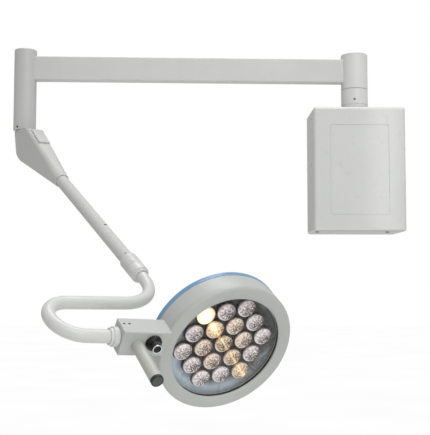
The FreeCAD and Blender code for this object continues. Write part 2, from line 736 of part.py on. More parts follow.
@part(FORK)
def knuckle_fork():
    """Top plate with a rounded end and two cheeks below it."""
    plate = box("fork_plate", 52, 2 * dim.cheek_out, 8, 19, 0, fork_top - 4)
    round_end = cyl("fork_round", dim.cheek_out, 8, 0, 0, cheek_top)
    # x, z
    cheeks = pad("fork_cheeks", "XZ_Plane", [
        (-2.0, cheek_top), (45.0, cheek_top), (45.0, pivot_z - 4),
        (pivot_out + 8, pivot_z - 12), (pivot_out - 8, pivot_z - 12), (14.0, pivot_z - 4),
    ], 2 * dim.cheek_out)
    gap = box("fork_gap", 90, 2 * dim.cheek_in, 80, 20, 0, cheek_top - 40)
    rod_groove = box("rod_groove", 44, 13, 8, 18, 0, cheek_top)
    fork = fuse("fork_all", plate, round_end, cut("cheeks_cut", cheeks, gap))
    return cut("fork_cut", fork, rod_groove,
               cyl("pivot_hole", dim.pin_rad, 60, pivot_out, -30, pivot_z, "y"),
               cyl("anchor_hole", dim.anchor_rad, 60, pivot_out, -30, anchor_z, "y"),
               cyl("fork_cable_hole", 6, 20, 0, 0, fork_top - 14))


@part(FORK)
def fork_pins():
    return group("pins", *[
        cyl(name, radius - 0.01, 2 * dim.cheek_out, pivot_out, -dim.cheek_out, z, "y")
        for name, radius, z in (("pivot_pin", dim.pin_rad, pivot_z),
                                ("anchor_pin", dim.anchor_rad, anchor_z))])


# ============================================================ SPRING ARM
ROOT_W = 24.4        # width of the arm root between the cheeks
ROOT_END = 76        # end of the root bar, where its flange starts
TUBE_SCREW_X = 627   # small screw near the far end of the tube
TUBE_SCREW_TURN = Rotation(X_AXIS, 27)
swivel_fit = 8.0 + dim.run


def tube_screw_cyl(name, radius, length, start):
    """Cylinder on the small screw's line, starting that far from the tube axis."""
    obj = cyl(name, radius, length)
    obj.Placement = Placement(
        TUBE_SCREW_TURN.multVec(Vector(0, 0, start)) + Vector(TUBE_SCREW_X, 0, 0),
        TUBE_SCREW_TURN)
    return obj


@part(LIFT)
def arm_root():
    """Forked eye on the pivot pin, with a flange and a plug in the spring tube."""
    eye = cyl("root_eye", 11.8, ROOT_W, dim.pivot_x, -ROOT_W / 2, 0, "y")
    bar = box("root_bar", ROOT_END - dim.pivot_x, ROOT_W, 22, (ROOT_END + dim.pivot_x) / 2, 0, 0)
    gap = box("root_gap", ROOT_END + 30, 11.6, 60, (ROOT_END - 30) / 2, 0, 0)
    forked = cut("root_forked", fuse("root_solid", eye, bar), gap)
    flange = cyl("root_flange", dim.tube_rad - 0.5, 4, ROOT_END, 0, 0, "x")
    plug = cyl("root_plug", dim.tube_in - 0.02, 45, dim.tube_start, 0, 0, "x")
    return cut("root_cut", fuse("root_all", forked, flange, plug),
               cyl("root_bore", 8.0, 40, dim.pivot_x, -20, 0, "y"),
               cyl("root_rod_bore", 4.3, 60, 70, 0, 0, "x"))


@part(LIFT)
def spring_arm_tube():
    """Tube with a slot on its upper +Y side at the nut and a small screw hole."""
    length = dim.collar_x + 20 - dim.tube_start
    body = tube("arm_tube", dim.tube_rad, dim.tube_in, length, dim.tube_start, 0, 0, "x")
    slot = tilt(box("tube_slot", 4.4, 18.4, 12, dim.nut_x + 5, 9.0, 11.5), 12)
    return cut("arm_tube_cut", body, slot, tube_screw_cyl("tube_screw_hole", 2.05, 12, 8))


@part(LIFT)
def balance_spring():
    """Coil between the arm root and the piston."""
    start, coil_rad, wire_rad = Vector(127.2, 0, 0), 8.6, 1.7
    helix = doc.addObject("Part::Helix", "spring_helix")
    helix.Pitch = 15.0
    helix.Height = 351.5
    helix.Radius = coil_rad
    helix.Placement = Placement(start, AIM["x"])
    wire = doc.addObject("Part::Circle", "spring_wire")
    wire.Radius = wire_rad
    wire.Placement = Placement(AIM["x"].multVec(Vector(coil_rad, 0, 0)) + start,
                               AIM["x"] * Rotation(X_AXIS, 90))
    sweep = doc.addObject("Part::Sweep", "spring_sweep")
    sweep.Sections = [wire]
    sweep.Spine = (helix, [])
    sweep.Solid = True
    sweep.Frenet = True
    return sweep


@part(aimed_along(LIFT, size.collar_x))
def end_collar():
    length = dim.joint_x - dim.collar_x
    return lathe("end_collar_body", [
        (dim.tube_rad, 0), (dim.collar_rad - 1.2, 0), (dim.collar_rad, 1.2),
        (dim.collar_rad, length - 0.6), (dim.collar_rad - 0.6, length), (11.0, length),
        (11.0, 20.0), (dim.tube_rad, 20.0)])


@part(LIFT)
def spring_arm_bushes():
    """Two bushes on the pivot pin and two for the swivel stem."""
    pivot = [tube("pivot_bush", 7.99, dim.pin_rad + dim.run, 6.3, dim.pivot_x, y, 0, "y")
             for y in (-12.15, 5.85)]
    return group("spring_bush_set", *pivot,
                 tube("collar_bush", 10.99, swivel_fit, 14.9, dim.joint_x - 14.95, 0, 0, "x"),
                 tube("tube_bush", dim.tube_in - 0.02, swivel_fit, 12, 612, 0, 0, "x"))


# knuckle cover: wedge shell tapering onto the spring tube, split down the middle
COVER_CORNER = 8.0   # corner radius at the widest section
HEAD_SINK = 1.6      # how far the screw heads' seats lie below the side face
# x, z; the first lies in the rear block, the others have bosses in the taper
COVER_SCREWS = [(48.0, -37.5), (120.0, -32.0), (205.0, -21.0), (120.0, 29.0), (205.0, 20.5)]


def section(name, x, half_w, top, bottom, radius):
    """Rounded rectangle across the spring arm."""
    bulge = radius * (1 - math.sqrt(0.5))
    # (y, z) of each side's start and end, and of the middle of the corner after it
    sides = [
        ((-half_w + radius, top), (half_w - radius, top), (half_w - bulge, top - bulge)),
        ((half_w, top - radius), (half_w, bottom + radius), (half_w - bulge, bottom + bulge)),
        ((half_w - radius, bottom), (-half_w + radius, bottom),
         (-half_w + bulge, bottom + bulge)),
        ((-half_w, bottom + radius), (-half_w, top - radius), (-half_w + bulge, top - bulge)),
    ]
    sides = [[Vector(x, y, z) for y, z in side] for side in sides]
    edges = []
    for i, (start, end, corner) in enumerate(sides):
        following = sides[(i + 1) % 4][0]
        edges.append(Part.LineSegment(start, end).toShape())
        edges.append(Part.Arc(end, corner, following).toShape())
    obj = doc.addObject("Part::Feature", name)
    obj.Shape = Part.Wire(edges)
    return obj


def taper(name, inset, end_x):
    """Tapering part of the cover volume, shrunk by inset."""
    mouth = size.mouth - inset
    loft = doc.addObject("Part::Loft", name)
    loft.Sections = [
        section(name + "_wide", size.boot_x, size.boot_w - inset, size.boot_hi - inset,
                -(size.boot_lo - inset), COVER_CORNER - inset),
        section(name + "_mouth", end_x, mouth, mouth, -mouth, mouth - 0.1)]
    loft.Solid = True
    loft.Ruled = True
    return loft


def on_rear_side(edge):
    """Side-face edges of the rear block to be rounded."""
    point = middle(edge)
    return (abs(abs(point.y) - size.boot_w) < 0.01 and point.x < size.boot_x - 0.5
            and (point.z < -5 or point.z > size.boot_hi - 0.1))


def side_face(x, z):
    """Half width of the cover under a screw head, following the rounded corners."""
    share = max(0.0, (x - size.boot_x) / (size.boot_end - size.boot_x))
    half_w = size.boot_w + (size.mouth - size.boot_w) * share
    corner = COVER_CORNER + (size.mouth - COVER_CORNER - 0.1) * share
    widest = size.boot_hi if z > 0 else size.boot_lo
    reach = widest + (size.mouth - widest) * share
    into_corner = abs(z) + 3.0 - (reach - corner)
    if into_corner > 0 and share > 0:
        half_w += math.sqrt(max(0.0, corner ** 2 - into_corner ** 2)) - corner
    return half_w


COVER_SEATS = [(x, z, side_face(x, z) - HEAD_SINK) for x, z in COVER_SCREWS]


def cover_shell():
    """The whole cover, before it is split."""
    low, high = -dim.boot_lo, dim.boot_hi
    inner_low, inner_high = low + dim.boot_t, high - dim.boot_t
    outer_taper = taper("taper_outer", 0.0, size.boot_end)
    inner_taper = taper("taper_inner", size.boot_t, size.boot_end + 1.0)
    # x, z
    outer_rear = pad("rear_outer", "XZ_Plane", [
        (-19.3, 0.6), (10.4, 20.9), (31.5, 34.3), (50.0, high), (dim.boot_x, high),
        (dim.boot_x, low), (42.0, low), (31.5, -45.9), (22.8, -42.6)], 2 * dim.boot_w)
    soften(outer_rear, "rear_soft", 6.0, on_rear_side)
    inner_rear = pad("rear_inner", "XZ_Plane", [
        (-16.2, -3.0), (24.9, -41.0), (32.6, -44.0), (42.6, -45.5), (dim.boot_x, inner_low),
        (dim.boot_x, inner_high), (50.0, inner_high), (50.0, high + 30), (-60.0, high + 30),
        (-60.0, -3.0)], 2 * (dim.boot_w - dim.boot_t))
    shell = cut("cover_hollowed", fuse("cover_outer", outer_taper, outer_rear),
                fuse("cover_inner", inner_taper, inner_rear))
    holes = [cyl("cover_screw_hole", 1.6, 40, x, 30, z, "-y") for x, z in COVER_SCREWS]
    bosses = [common("cover_boss", cyl("boss_rod", 3.6, 60, x, -30, z, "y"), outer_taper)
              for x, z in COVER_SCREWS[1:]]
    sinks = [cyl("head_sink", 3.3, 12, x, seat, z, "y") for x, z, seat in COVER_SEATS]
    return cut("cover_drilled", fuse("cover_bossed", shell, *bosses), *holes, *sinks)


COVER = cover_shell()


def cover_half(side):
    """The +Y (1) or -Y (-1) half, 0.02 mm clear of the middle."""
    return common("cover_half", COVER, box("half_space", 400, 100, 200, 120, side * 50.02, 0))


@part(LIFT)
def knuckle_cover_right():
    return cover_half(1)


@part(LIFT)
def knuckle_cover_left():
    return cover_half(-1)


@part(LIFT)
def spring_arm_screws():
    """The cover screws and the small screw near the end of the tube."""
    head_len = 1.4
    screws = [screw("cover_screw", (3.0, head_len), (1.5, seat + HEAD_SINK + 6.8),
                    x, seat + head_len, z, "-y") for x, z, seat in COVER_SEATS]
    return group("arm_screw_set", *screws, tube_screw_cyl("tube_screw", 2.0, 4.6, 10.9))


cover_slope = math.degrees(math.atan2(size.boot_hi - size.mouth, size.boot_end - size.boot_x))


@part(Placement(LIFT.multVec(Vector(size.boot_x, 0, size.boot_hi)),
                LIFT.Rotation * Rotation(Y_AXIS, cover_slope)))
def tension_access_cap():
    """Rounded plate lying on the sloping top of the cover."""
    height, lift = 4.2, 2.15
    plate = box("cap_plate", 60, 30, height, 31, 0, lift)
    return fillet("cap_round", plate, 1.6, level("z", lift + height / 2))


# ============================================================ SPRING ROD
ROD_FIT = 4.02   # bore radius round the rod


@part(LIFT)
def spring_rod():
    """Rod with a cranked end, slotted for the anchor pin."""
    head = box("rod_head", 40, 9.8, 13.6, dim.pivot_x + 5.0, 0, 14.3)
    leg = box("rod_leg", 10, 9.8, 26.1, dim.pivot_x + 20, 0, 8.05)
    slot = box("rod_slot", 2 * dim.anchor_rad + 1.6, 20, 13.0,
               dim.pivot_x - dim.anchor * math.sin(dip), 0, 12.0)
    rod = cyl("rod_bar", 4.0, dim.nut_x + 30 - dim.pivot_x - 20, dim.pivot_x + 20, 0, 0, "x")
    return fuse("rod_all", cut("rod_end", fuse("rod_crank", head, leg), slot), rod)


@part(LIFT)
def spring_piston():
    return tube("piston", dim.tube_in - dim.run * 2, ROD_FIT, 10, dim.nut_x - 18, 0, 0, "x")


@part(LIFT)
def tension_nut():
    """Ring opened out from its bore by six blocks fanned about one line."""
    blank = tube("nut_blank", dim.tube_in - 0.4, ROD_FIT, 12, dim.nut_x - 7.5, 0, 0, "x")
    return cut("nut_cut", blank, *[
        tilt(box("nut_block", 5, 5, 4, dim.nut_x + 1, 0, 0), 60 * i + 8) for i in range(6)])


# ============================================================ S TUBE
@part(aimed_along(BENT, size.joint_x))
def swivel_ring():
    """Ring beyond the swivel seam, with a hollow stem reaching back into the spring tube."""
    tube_seat = dim.s_rad + 0.01
    end = dim.ring_end - dim.joint_x
    return lathe("swivel_body", [
        (4.0, -62.0), (9.6, -62.0), (9.6, -58.0), (8.0, -58.0), (8.0, 0.15),
        (dim.collar_rad - 0.8, 0.15), (dim.collar_rad, 1.0), (dim.collar_rad, 23.5),
        (dim.collar_rad - 0.8, 24.4), (16.4, 25.2), (16.4, 29.0), (15.4, end),
        (tube_seat, end), (tube_seat, 10.0), (4.0, 10.0)])


def bent(name, radius, start, extra):
    """Straight, quarter bend, upper leg, return bend and lower leg, extra longer at the end."""
    far_x = dim.bend_x + dim.bend_one
    pieces = [
        cyl(name + "_straight", radius, dim.bend_x - start, start, 0, 0, "x"),
        torus(name + "_bend", dim.bend_one, radius, 90.0, dim.bend_x, dim.bend_one, 0, -90),
        cyl(name + "_leg", radius, dim.leg_two, far_x, dim.bend_one, 0, "y"),
        torus(name + "_return", dim.bend_two, radius, dim.turn_two, far_x + dim.bend_two,
              dim.bend_one + dim.leg_two, 0, 180.0 - size.turn_two)]
    # the last leg follows the block axis, with a slightly full ball where it leaves the bend
    last = cyl(name + "_last", radius, dim.leg_three + extra, axis="x")
    last.Placement = BLOCK_IN_BENT.multiply(last.Placement)
    ball = doc.addObject("Part::Sphere", name + "_ball")
    bind(ball, "Radius", radius + 0.15)
    ball.Placement = BLOCK_IN_BENT
    return fuse(name, *pieces, last, ball)


@part(BENT)
def s_tube():
    return cut("bent_cut", bent("bent_outer", dim.s_rad, dim.joint_x + 10.02, 0.0),
               bent("bent_inner", dim.s_in, dim.joint_x + 5.0, 2.0))


@part(BENT)
def lamp_cable():
    return bent("bent_cable", 3.2, dim.joint_x + 14.0, -36.0)


@part(aimed_along(BLOCK, 0))
def lamp_spindle():
    """Plug in the tube end, collar before the block and spindle through its bore."""
    plug, seat = dim.s_in - 0.02, dim.s_rad + 0.01
    plug_end = dim.leg_three + 0.02
    return lathe("lamp_spindle_body", [
        (5.0, 16.0), (plug, 16.0), (plug, plug_end), (seat, plug_end), (seat, 43.0),
        (15.0, 43.0), (15.8, 43.8), (15.8, 48.5), (17.6, 48.5), (18.3, 49.2),
        (18.3, dim.blk_x - 1.2), (17.6, dim.blk_x - 0.3), (dim.lspin_rad, dim.blk_x - 0.3),
        (dim.lspin_rad, dim.blk_x + 52.4), (12.4, dim.blk_x + 52.4),
        (12.4, dim.blk_x + 55.4), (5.0, dim.blk_x + 55.4)])


# ============================================================ LAMP BLOCK
FRICTION_XS = (67.3, 77.8)
FRICTION_Z = -4.9


@part(BLOCK)
def lamp_block():
    """Block saddled onto the lamp housing and bored for spindle, dimmer, handle and screws."""
    length = dim.lamp_x - dim.blk_x - 120
    blank = box("block_blank", length, dim.blk_w, dim.blk_d, dim.blk_x + length / 2, 0, 0)
    lengthwise, at_start = along("x"), level("x", size.blk_x)
    rounded = fillet("block_round", blank, 2.0, lambda e: lengthwise(e) or at_start(e))
    saddle = cyl("block_saddle", dim.lamp_rad + 0.05, 120, 0, 0, -60)
    saddle.Placement = LAMP_IN_BLOCK.multiply(saddle.Placement)
    return cut("block_cut", rounded,
               cyl("block_bore", dim.bore_rad, 120, dim.blk_x - 5, 0, 0, "x"), saddle,
               cyl("dimmer_pocket", 8.6, 12, dim.knob_x, dim.knob_y, 7.6),
               cyl("dimmer_hole", 4.05, 30, dim.knob_x, dim.knob_y, 10),
               cyl("handle_hole", 5.0, 12, dim.hand_x, dim.hand_y, 13.5),
               *[cyl("friction_hole", 2.5, 20, x, 11, FRICTION_Z, "y") for x in FRICTION_XS])


@part(BLOCK)
def block_bush():
    return tube("bore_bush", dim.bore_rad - 0.02, dim.lspin_rad + dim.run, 52.0,
                dim.blk_x, 0, 0, "x")


@part(BLOCK)
def friction_screws():
    return group("friction_set", *[
        cut("friction_screw", cyl("friction_shank", 2.49, 11.0, x, 13.0, FRICTION_Z, "y"),
            cyl("friction_socket", 1.25, 3, x, 22, FRICTION_Z, "y")) for x in FRICTION_XS])


@part(HANDLE)
def handle_grip():
    """Grip with a stud in the block and a recess for the end cap."""
    end = dim.hand_len
    return lathe("grip", [(0, -8.0), (4.98, -8.0), (4.98, 0), (dim.hand_rad, 0),
                          (dim.hand_rad, end), (9.0, end), (9.0, end - 8), (0, end - 8)])


@part(HANDLE)
def handle_cap():
    end, rim = dim.hand_len, dim.hand_rad
    return lathe("grip_cap", [
        (0, end - 7.9), (8.95, end - 7.9), (8.95, end), (rim, end), (rim, end + 5),
        (rim - 1.0, end + 6.4), (rim - 2.2, end + 6.4), (rim - 2.8, end + 5.4),
        (0, end + 5.4)])


@part(BLOCK)
def dimmer_potentiometer():
    body = fuse("dimmer_all", cyl("dimmer_body", 8.5, 6.0, dim.knob_x, dim.knob_y, 13.2),
                cyl("dimmer_neck", 4.0, 5.0, dim.knob_x, dim.knob_y, 19.0))
    return cut("dimmer_cut", body,
               cyl("dimmer_bore", 3.0 + dim.run, 12, dim.knob_x, dim.knob_y, 15.2))


@part(KNOB)
def dimmer_knob():
    """Skirted knob with fifteen flutes, a pointer groove and a shaft."""
    body = lathe("knob_body", [
        (0, 2.6), (5.5, 2.6), (5.5, 0.4), (15.0, 0.4), (15.6, 1.4), (14.6, 6.2), (11.6, 8.2),
        (10.2, 9.2), (9.9, 19.4), (9.0, 20.4), (0, 20.4)])
    pointer = box("knob_pointer", 7.0, 1.0, 2.0, 4.8, 0, 20.4)
    flutes = [cyl("knob_flute", 1.3, 14, x, y, 9.6) for x, y in ring(15, 10.9)]
    return fuse("knob_all", cut("knob_cut", body, pointer, *flutes),
                cyl("knob_shaft", 3.0, 8.8, 0, 0, -6.0))


@part(KNOB)
def knob_trim_ring():
    return tube("knob_ring", 9.0, 7.4, 1.0, 0, 0, 20.4)


# ============================================================ LAMP HEAD
REAR_SCREWS = ring(6, 118, 30)
lens_front = -dim.lens_top


@part(LAMP)
def lamp_housing():
    """Side wall with an inward ledge at the front and an outlet towards the block."""
    rim, inside, ledge = dim.lamp_rad, dim.lamp_in, dim.glass_rad
    shell = lathe("housing_shell", [
        (inside, -dim.rear_z), (rim - 0.6, -dim.rear_z), (rim, -dim.rear_z + 0.6), (rim, 3.0),
        (ledge + 4.2, 3.0), (ledge + 4.2, 0.4), (ledge - 0.5, 0.4), (ledge - 0.5, -1.6),
        (inside, -1.6)])
    return cut("housing_cut", shell,
               cyl("housing_outlet", 10, 20, -dim.lamp_rad - 10, 8.7, -12.0, "x"))


@part(LAMP)
def rear_trim_ring():
    rim, inside = dim.lamp_rad, dim.lamp_in - 3.0
    return lathe("trim_ring", [
        (inside, -dim.ring_z), (rim + 0.2, -dim.ring_z), (rim + 0.6, -dim.ring_z + 0.8),
        (rim + 0.6, -dim.rear_z - 0.6), (rim + 0.2, -dim.rear_z), (inside, -dim.rear_z)])


@part(LAMP)
def rear_cover():
    """Shallow dome with a skirt inside the trim ring and six sunk screw holes."""
    rim, inside, top = dim.lamp_rad, dim.lamp_in, -dim.dome_z
    dome = lathe("dome", [
        (0, top), (60.0, top + 0.8), (100.0, top + 2.6), (122.0, top + 5.0),
        (130.0, top + 6.2), (rim - 0.8, -dim.ring_z - 1.4), (rim - 0.2, -dim.ring_z),
        (inside - 3.1, -dim.ring_z), (inside - 3.1, -dim.rear_z), (inside - 5.6, -dim.rear_z),
        (inside - 5.6, -dim.ring_z + 1.6), (100.0, top + 5.1), (60.0, top + 3.3),
        (0, top + 2.5)])
    holes = [cyl("dome_hole", 2.1, 20, x, y, -62) for x, y in REAR_SCREWS]
    sinks = [cyl("dome_sink", 4.2, 16.6, x, y, top - 12.0) for x, y in REAR_SCREWS]
    return cut("dome_cut", dome, *holes, *sinks)


@part(LAMP)
def rear_cover_screws():
    return group("dome_screws", *[
        screw("dome_screw", (4.0, 1.9), (2.0, 10), x, y, -dim.dome_z + 2.7)
        for x, y in REAR_SCREWS])


@part(LAMP)
def front_bezel():
    rim, glass = dim.lamp_rad, dim.glass_rad
    return lathe("bezel", [
        (glass + 4.25, 3.05), (rim - 0.4, 3.05), (rim, 3.5), (rim, 6.4), (rim - 0.8, 8.4),
        (rim - 2.4, 10.0), (rim - 4.6, 10.8), (rim - 8.0, dim.rim_z),
        (glass + 5.0, dim.rim_z - 0.6), (glass + 1.2, 8.9), (glass, 8.0), (glass, 5.6),
        (glass + 4.25, 5.6)])


@part(LAMP)
def front_glass():
    # grouped, so that the disc keeps its own height when the part is placed
    return group("glass", cyl("glass_disc", dim.glass_rad + 4.0, 3.5, 0, 0, 2.0))


@part(LAMP)
def glass_gasket():
    return tube("gasket", dim.glass_rad + 4.0, dim.glass_rad + 0.2, 1.55, 0, 0, 0.42)


def lens_centres():
    """Rows of 3, 4, 5, 4 and 3 on a turned triangular grid."""
    angle = math.radians(size.led_turn)
    cos, sin = math.cos(angle), math.sin(angle)
    centres = []
    for row, count in enumerate((3, 4, 5, 4, 3)):
        for i in range(count):
            x, y = i - (count - 1) / 2.0, -(row - 2) * math.sqrt(3) / 2
            centres.append((dim.led_pitch * (x * cos - y * sin) + dim.led_dx,
                            dim.led_pitch * (x * sin + y * cos) + dim.led_dy))
    return centres


LENSES = lens_centres()


@part(LAMP)
def lens_holder():
    disc = cyl("holder_disc", dim.lamp_in - 3.0, 2.0, 0, 0, lens_front - 9.5)
    return cut("holder_cut", disc, *[
        cyl("holder_hole", 15.6, 6, x, y, lens_front - 12) for x, y in LENSES])


@part(LAMP)
def led_lenses():
    """Cones opening to the front, each with a rim and a pocket over its LED."""
    lenses = []
    for x, y in LENSES:
        body = cone("lens_cone", 7.0, dim.lens_rad - 0.5, 20.5, x, y, lens_front - 23.5)
        rim = cyl("lens_rim", dim.lens_rad, 3.0, x, y, lens_front - 3.0)
        pocket = cyl("lens_pocket", 3.6, 7, x, y, lens_front - 25)
        lenses.append(cut("lens", fuse("lens_solid", body, rim), pocket))
    return group("lens_set", *lenses)


@part(LAMP)
def led_board():
    disc = cyl("led_disc", 112, 1.6, 0, 0, lens_front - 27.6)
    leds = [fuse("led", box("led_base", 5, 5, 1.0, x, y, lens_front - 25.5),
                 cyl("led_dome", 1.8, 0.8, x, y, lens_front - 25.0)) for x, y in LENSES]
    hole = cyl("led_board_hole", 6, 5, 0, -104, lens_front - 29)
    return fuse("led_board_all", cut("led_board_cut", disc, hole), *leds)


@part(LAMP)
def heat_sink():
    """Disc with parallel fins, trimmed to a circle, on its rear."""
    disc = cyl("sink_disc", 116, 4.0, 0, 0, lens_front - 31.6)
    fins = [box("fin", 2.0, 2 * math.sqrt(114.0 ** 2 - x ** 2), 9.0, x, 0, lens_front - 36.0)
            for x in range(-98, 99, 14)]
    return fuse("sink_all", disc, *fins)


# ------------------------------------------------------------ check and write
doc.recompute()
failed = [obj.Name for obj in doc.Objects if "Invalid" in obj.State or "Error" in obj.State]
if failed:
    raise SystemExit("objects in error: " + ", ".join(failed))
for piece in PARTS:
    if piece.Shape.isNull() or not piece.Shape.isValid() or not piece.Shape.Solids:
        raise SystemExit("bad shape: " + piece.Label)
os.makedirs("parts", exist_ok=True)
for piece in PARTS:
    piece.Shape.exportStep("parts/%s.step" % piece.Label)
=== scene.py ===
"""An LED lamp head with a handle and a dimmer knob, carried from a wall box by a
horizontal arm, a spring arm and an S-shaped bent tube.

World: metres, +Z up, the camera looks along +Y. Pieces are outlined in millimetres in
frames taken from the joints:
  LAMP   origin on the lens centre, Z out of the front face
  BLOCK  origin on the lamp block, X along the lamp's tilt axis, Z along the dimmer axis
  LIFT   X along the spring arm, Y against the lift axis
  BENT   X along the spring arm, XY the plane of the bent tube
"""
import bpy, bmesh, json, math, random
from mathutils import Vector, Matrix


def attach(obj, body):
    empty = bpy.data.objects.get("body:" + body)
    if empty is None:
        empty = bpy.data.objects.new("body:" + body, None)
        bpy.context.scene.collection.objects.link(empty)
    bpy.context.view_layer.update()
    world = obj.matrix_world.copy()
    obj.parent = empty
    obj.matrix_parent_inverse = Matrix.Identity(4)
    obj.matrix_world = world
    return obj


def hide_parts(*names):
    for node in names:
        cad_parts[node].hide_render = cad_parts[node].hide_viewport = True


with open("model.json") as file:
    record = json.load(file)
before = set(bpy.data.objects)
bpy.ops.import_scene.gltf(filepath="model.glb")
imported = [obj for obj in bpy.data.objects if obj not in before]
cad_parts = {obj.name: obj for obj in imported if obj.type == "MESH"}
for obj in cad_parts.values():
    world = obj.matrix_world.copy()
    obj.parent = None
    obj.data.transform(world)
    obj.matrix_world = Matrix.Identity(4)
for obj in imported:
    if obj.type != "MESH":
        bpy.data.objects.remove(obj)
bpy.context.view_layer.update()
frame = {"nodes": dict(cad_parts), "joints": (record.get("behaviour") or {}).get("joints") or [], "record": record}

NODE = frame["nodes"]
SLOT = {s["node"]: s["material_slot"] for s in frame["record"]["subparts"]}
JOINTS = {j["name"]: j for j in frame["joints"]}
SCENE = bpy.context.scene
PI = math.pi
RAD = math.radians

# ------------------------------------------------------------- driving sizes
# in metres
BLOCK_TO_TILT = 0.0596       # block origin to the tilt joint, along block X
LAMP_OFFSET = (0.2839, -0.0037)   # block origin to the lens centre, along lamp X and Y
ARM_TO_LIFT = 0.0354         # LIFT origin to the lift joint, along the arm
COLLAR_START = 0.634         # end collar from the LIFT origin
COLLAR_LENGTH = 0.035
# the lamp plane sits slightly turned against the block, in degrees
SKEW_X, SKEW_Y, SKEW_Z = 1.9, 0.9, 1.95

# in millimetres
TUBE_R, TUBE_BORE_R = 12.5, 10.0
TUBE_SOCKET_R = TUBE_R + 0.01
TUBE_START, FIRST_BEND_START = 679.05, 710.0   # along BENT X
FIRST_BEND_R, SECOND_BEND_R = 90.7, 53.25
SECOND_BEND_ANGLE = 172.57   # degrees
MIDDLE_STRAIGHT = 123.7
HOUSING_R, HOUSING_BORE_R = 136.0, 133.0
HOUSING_REAR, HOUSING_LIP = -35.5, 3.0
BEZEL_ROUND = 5.4
HANDLE_R, HANDLE_END = 11.5, 97.0
HANDLE_PLACE = (91.9, -2.6, 22.0)   # in BLOCK
KNOB_PLACE = (120.9, 4.8, 22.0)     # in BLOCK
LENS_PITCH = 41.5
LENS_SCALE = 18.0            # lens radius that counts as 1 in the facet shading
LENS_GRID_TURN = RAD(15.98)
LENS_GRID_OFFSET = (-1.1, 3.7)


# -------------------------------------------------------------------- frames
def joint(name, key):
    return Vector(JOINTS[name][key])


def frame_of(origin, x, y, z):
    matrix = Matrix.Identity(4)
    for column, vector in enumerate((x, y, z, origin)):
        for row in range(3):
            matrix[row][column] = vector[row]
    return matrix


def x_turned(origin, x, y, z):
    """Frame whose Z lies along x, for pieces turned about x."""
    return frame_of(origin, -z, y, x)


def mm(*v):
    return Vector([c / 1000.0 for c in v])


ARM_X = joint("bent_tube_swivel", "axis").normalized()
ARM_Y = -joint("spring_arm_lift", "axis").normalized()
ARM_Z = ARM_X.cross(ARM_Y)
BLOCK_X = joint("lamp_tilt", "axis").normalized()
BLOCK_Z = joint("dimmer_turn", "axis").normalized()
BLOCK_Y = BLOCK_Z.cross(BLOCK_X).normalized()
SKEW = (Matrix.Rotation(RAD(SKEW_Z), 3, "Z") @ Matrix.Rotation(RAD(SKEW_Y), 3, "Y")
        @ Matrix.Rotation(RAD(SKEW_X), 3, "X"))
lamp_axes = Matrix((BLOCK_X, BLOCK_Y, BLOCK_Z)).transposed() @ SKEW.transposed()
LAMP_X, LAMP_Y, LAMP_Z = (lamp_axes.col[i].copy() for i in range(3))

# BENT Y is set so that the second bend ends along lamp X
bend = RAD(SECOND_BEND_ANGLE)
BENT_Y = ((LAMP_X - ARM_X * math.sin(bend)) / math.cos(bend)).normalized()
BENT_Z = ARM_X.cross(BENT_Y)

BLOCK_ORIGIN = joint("lamp_tilt", "pos_m") - BLOCK_X * BLOCK_TO_TILT
LAMP_ORIGIN = BLOCK_ORIGIN + LAMP_X * LAMP_OFFSET[0] + LAMP_Y * LAMP_OFFSET[1]
ARM_ORIGIN = joint("spring_arm_lift", "pos_m") - ARM_X * ARM_TO_LIFT

LAMP = frame_of(LAMP_ORIGIN, LAMP_X, LAMP_Y, LAMP_Z)
BLOCK = frame_of(BLOCK_ORIGIN, BLOCK_X, BLOCK_Y, BLOCK_Z)
LIFT = frame_of(ARM_ORIGIN, ARM_X, ARM_Y, ARM_Z)
BENT = frame_of(ARM_ORIGIN, ARM_X, BENT_Y, BENT_Z)
HANDLE = BLOCK @ Matrix.Translation(mm(*HANDLE_PLACE))
KNOB = BLOCK @ Matrix.Translation(mm(*KNOB_PLACE))


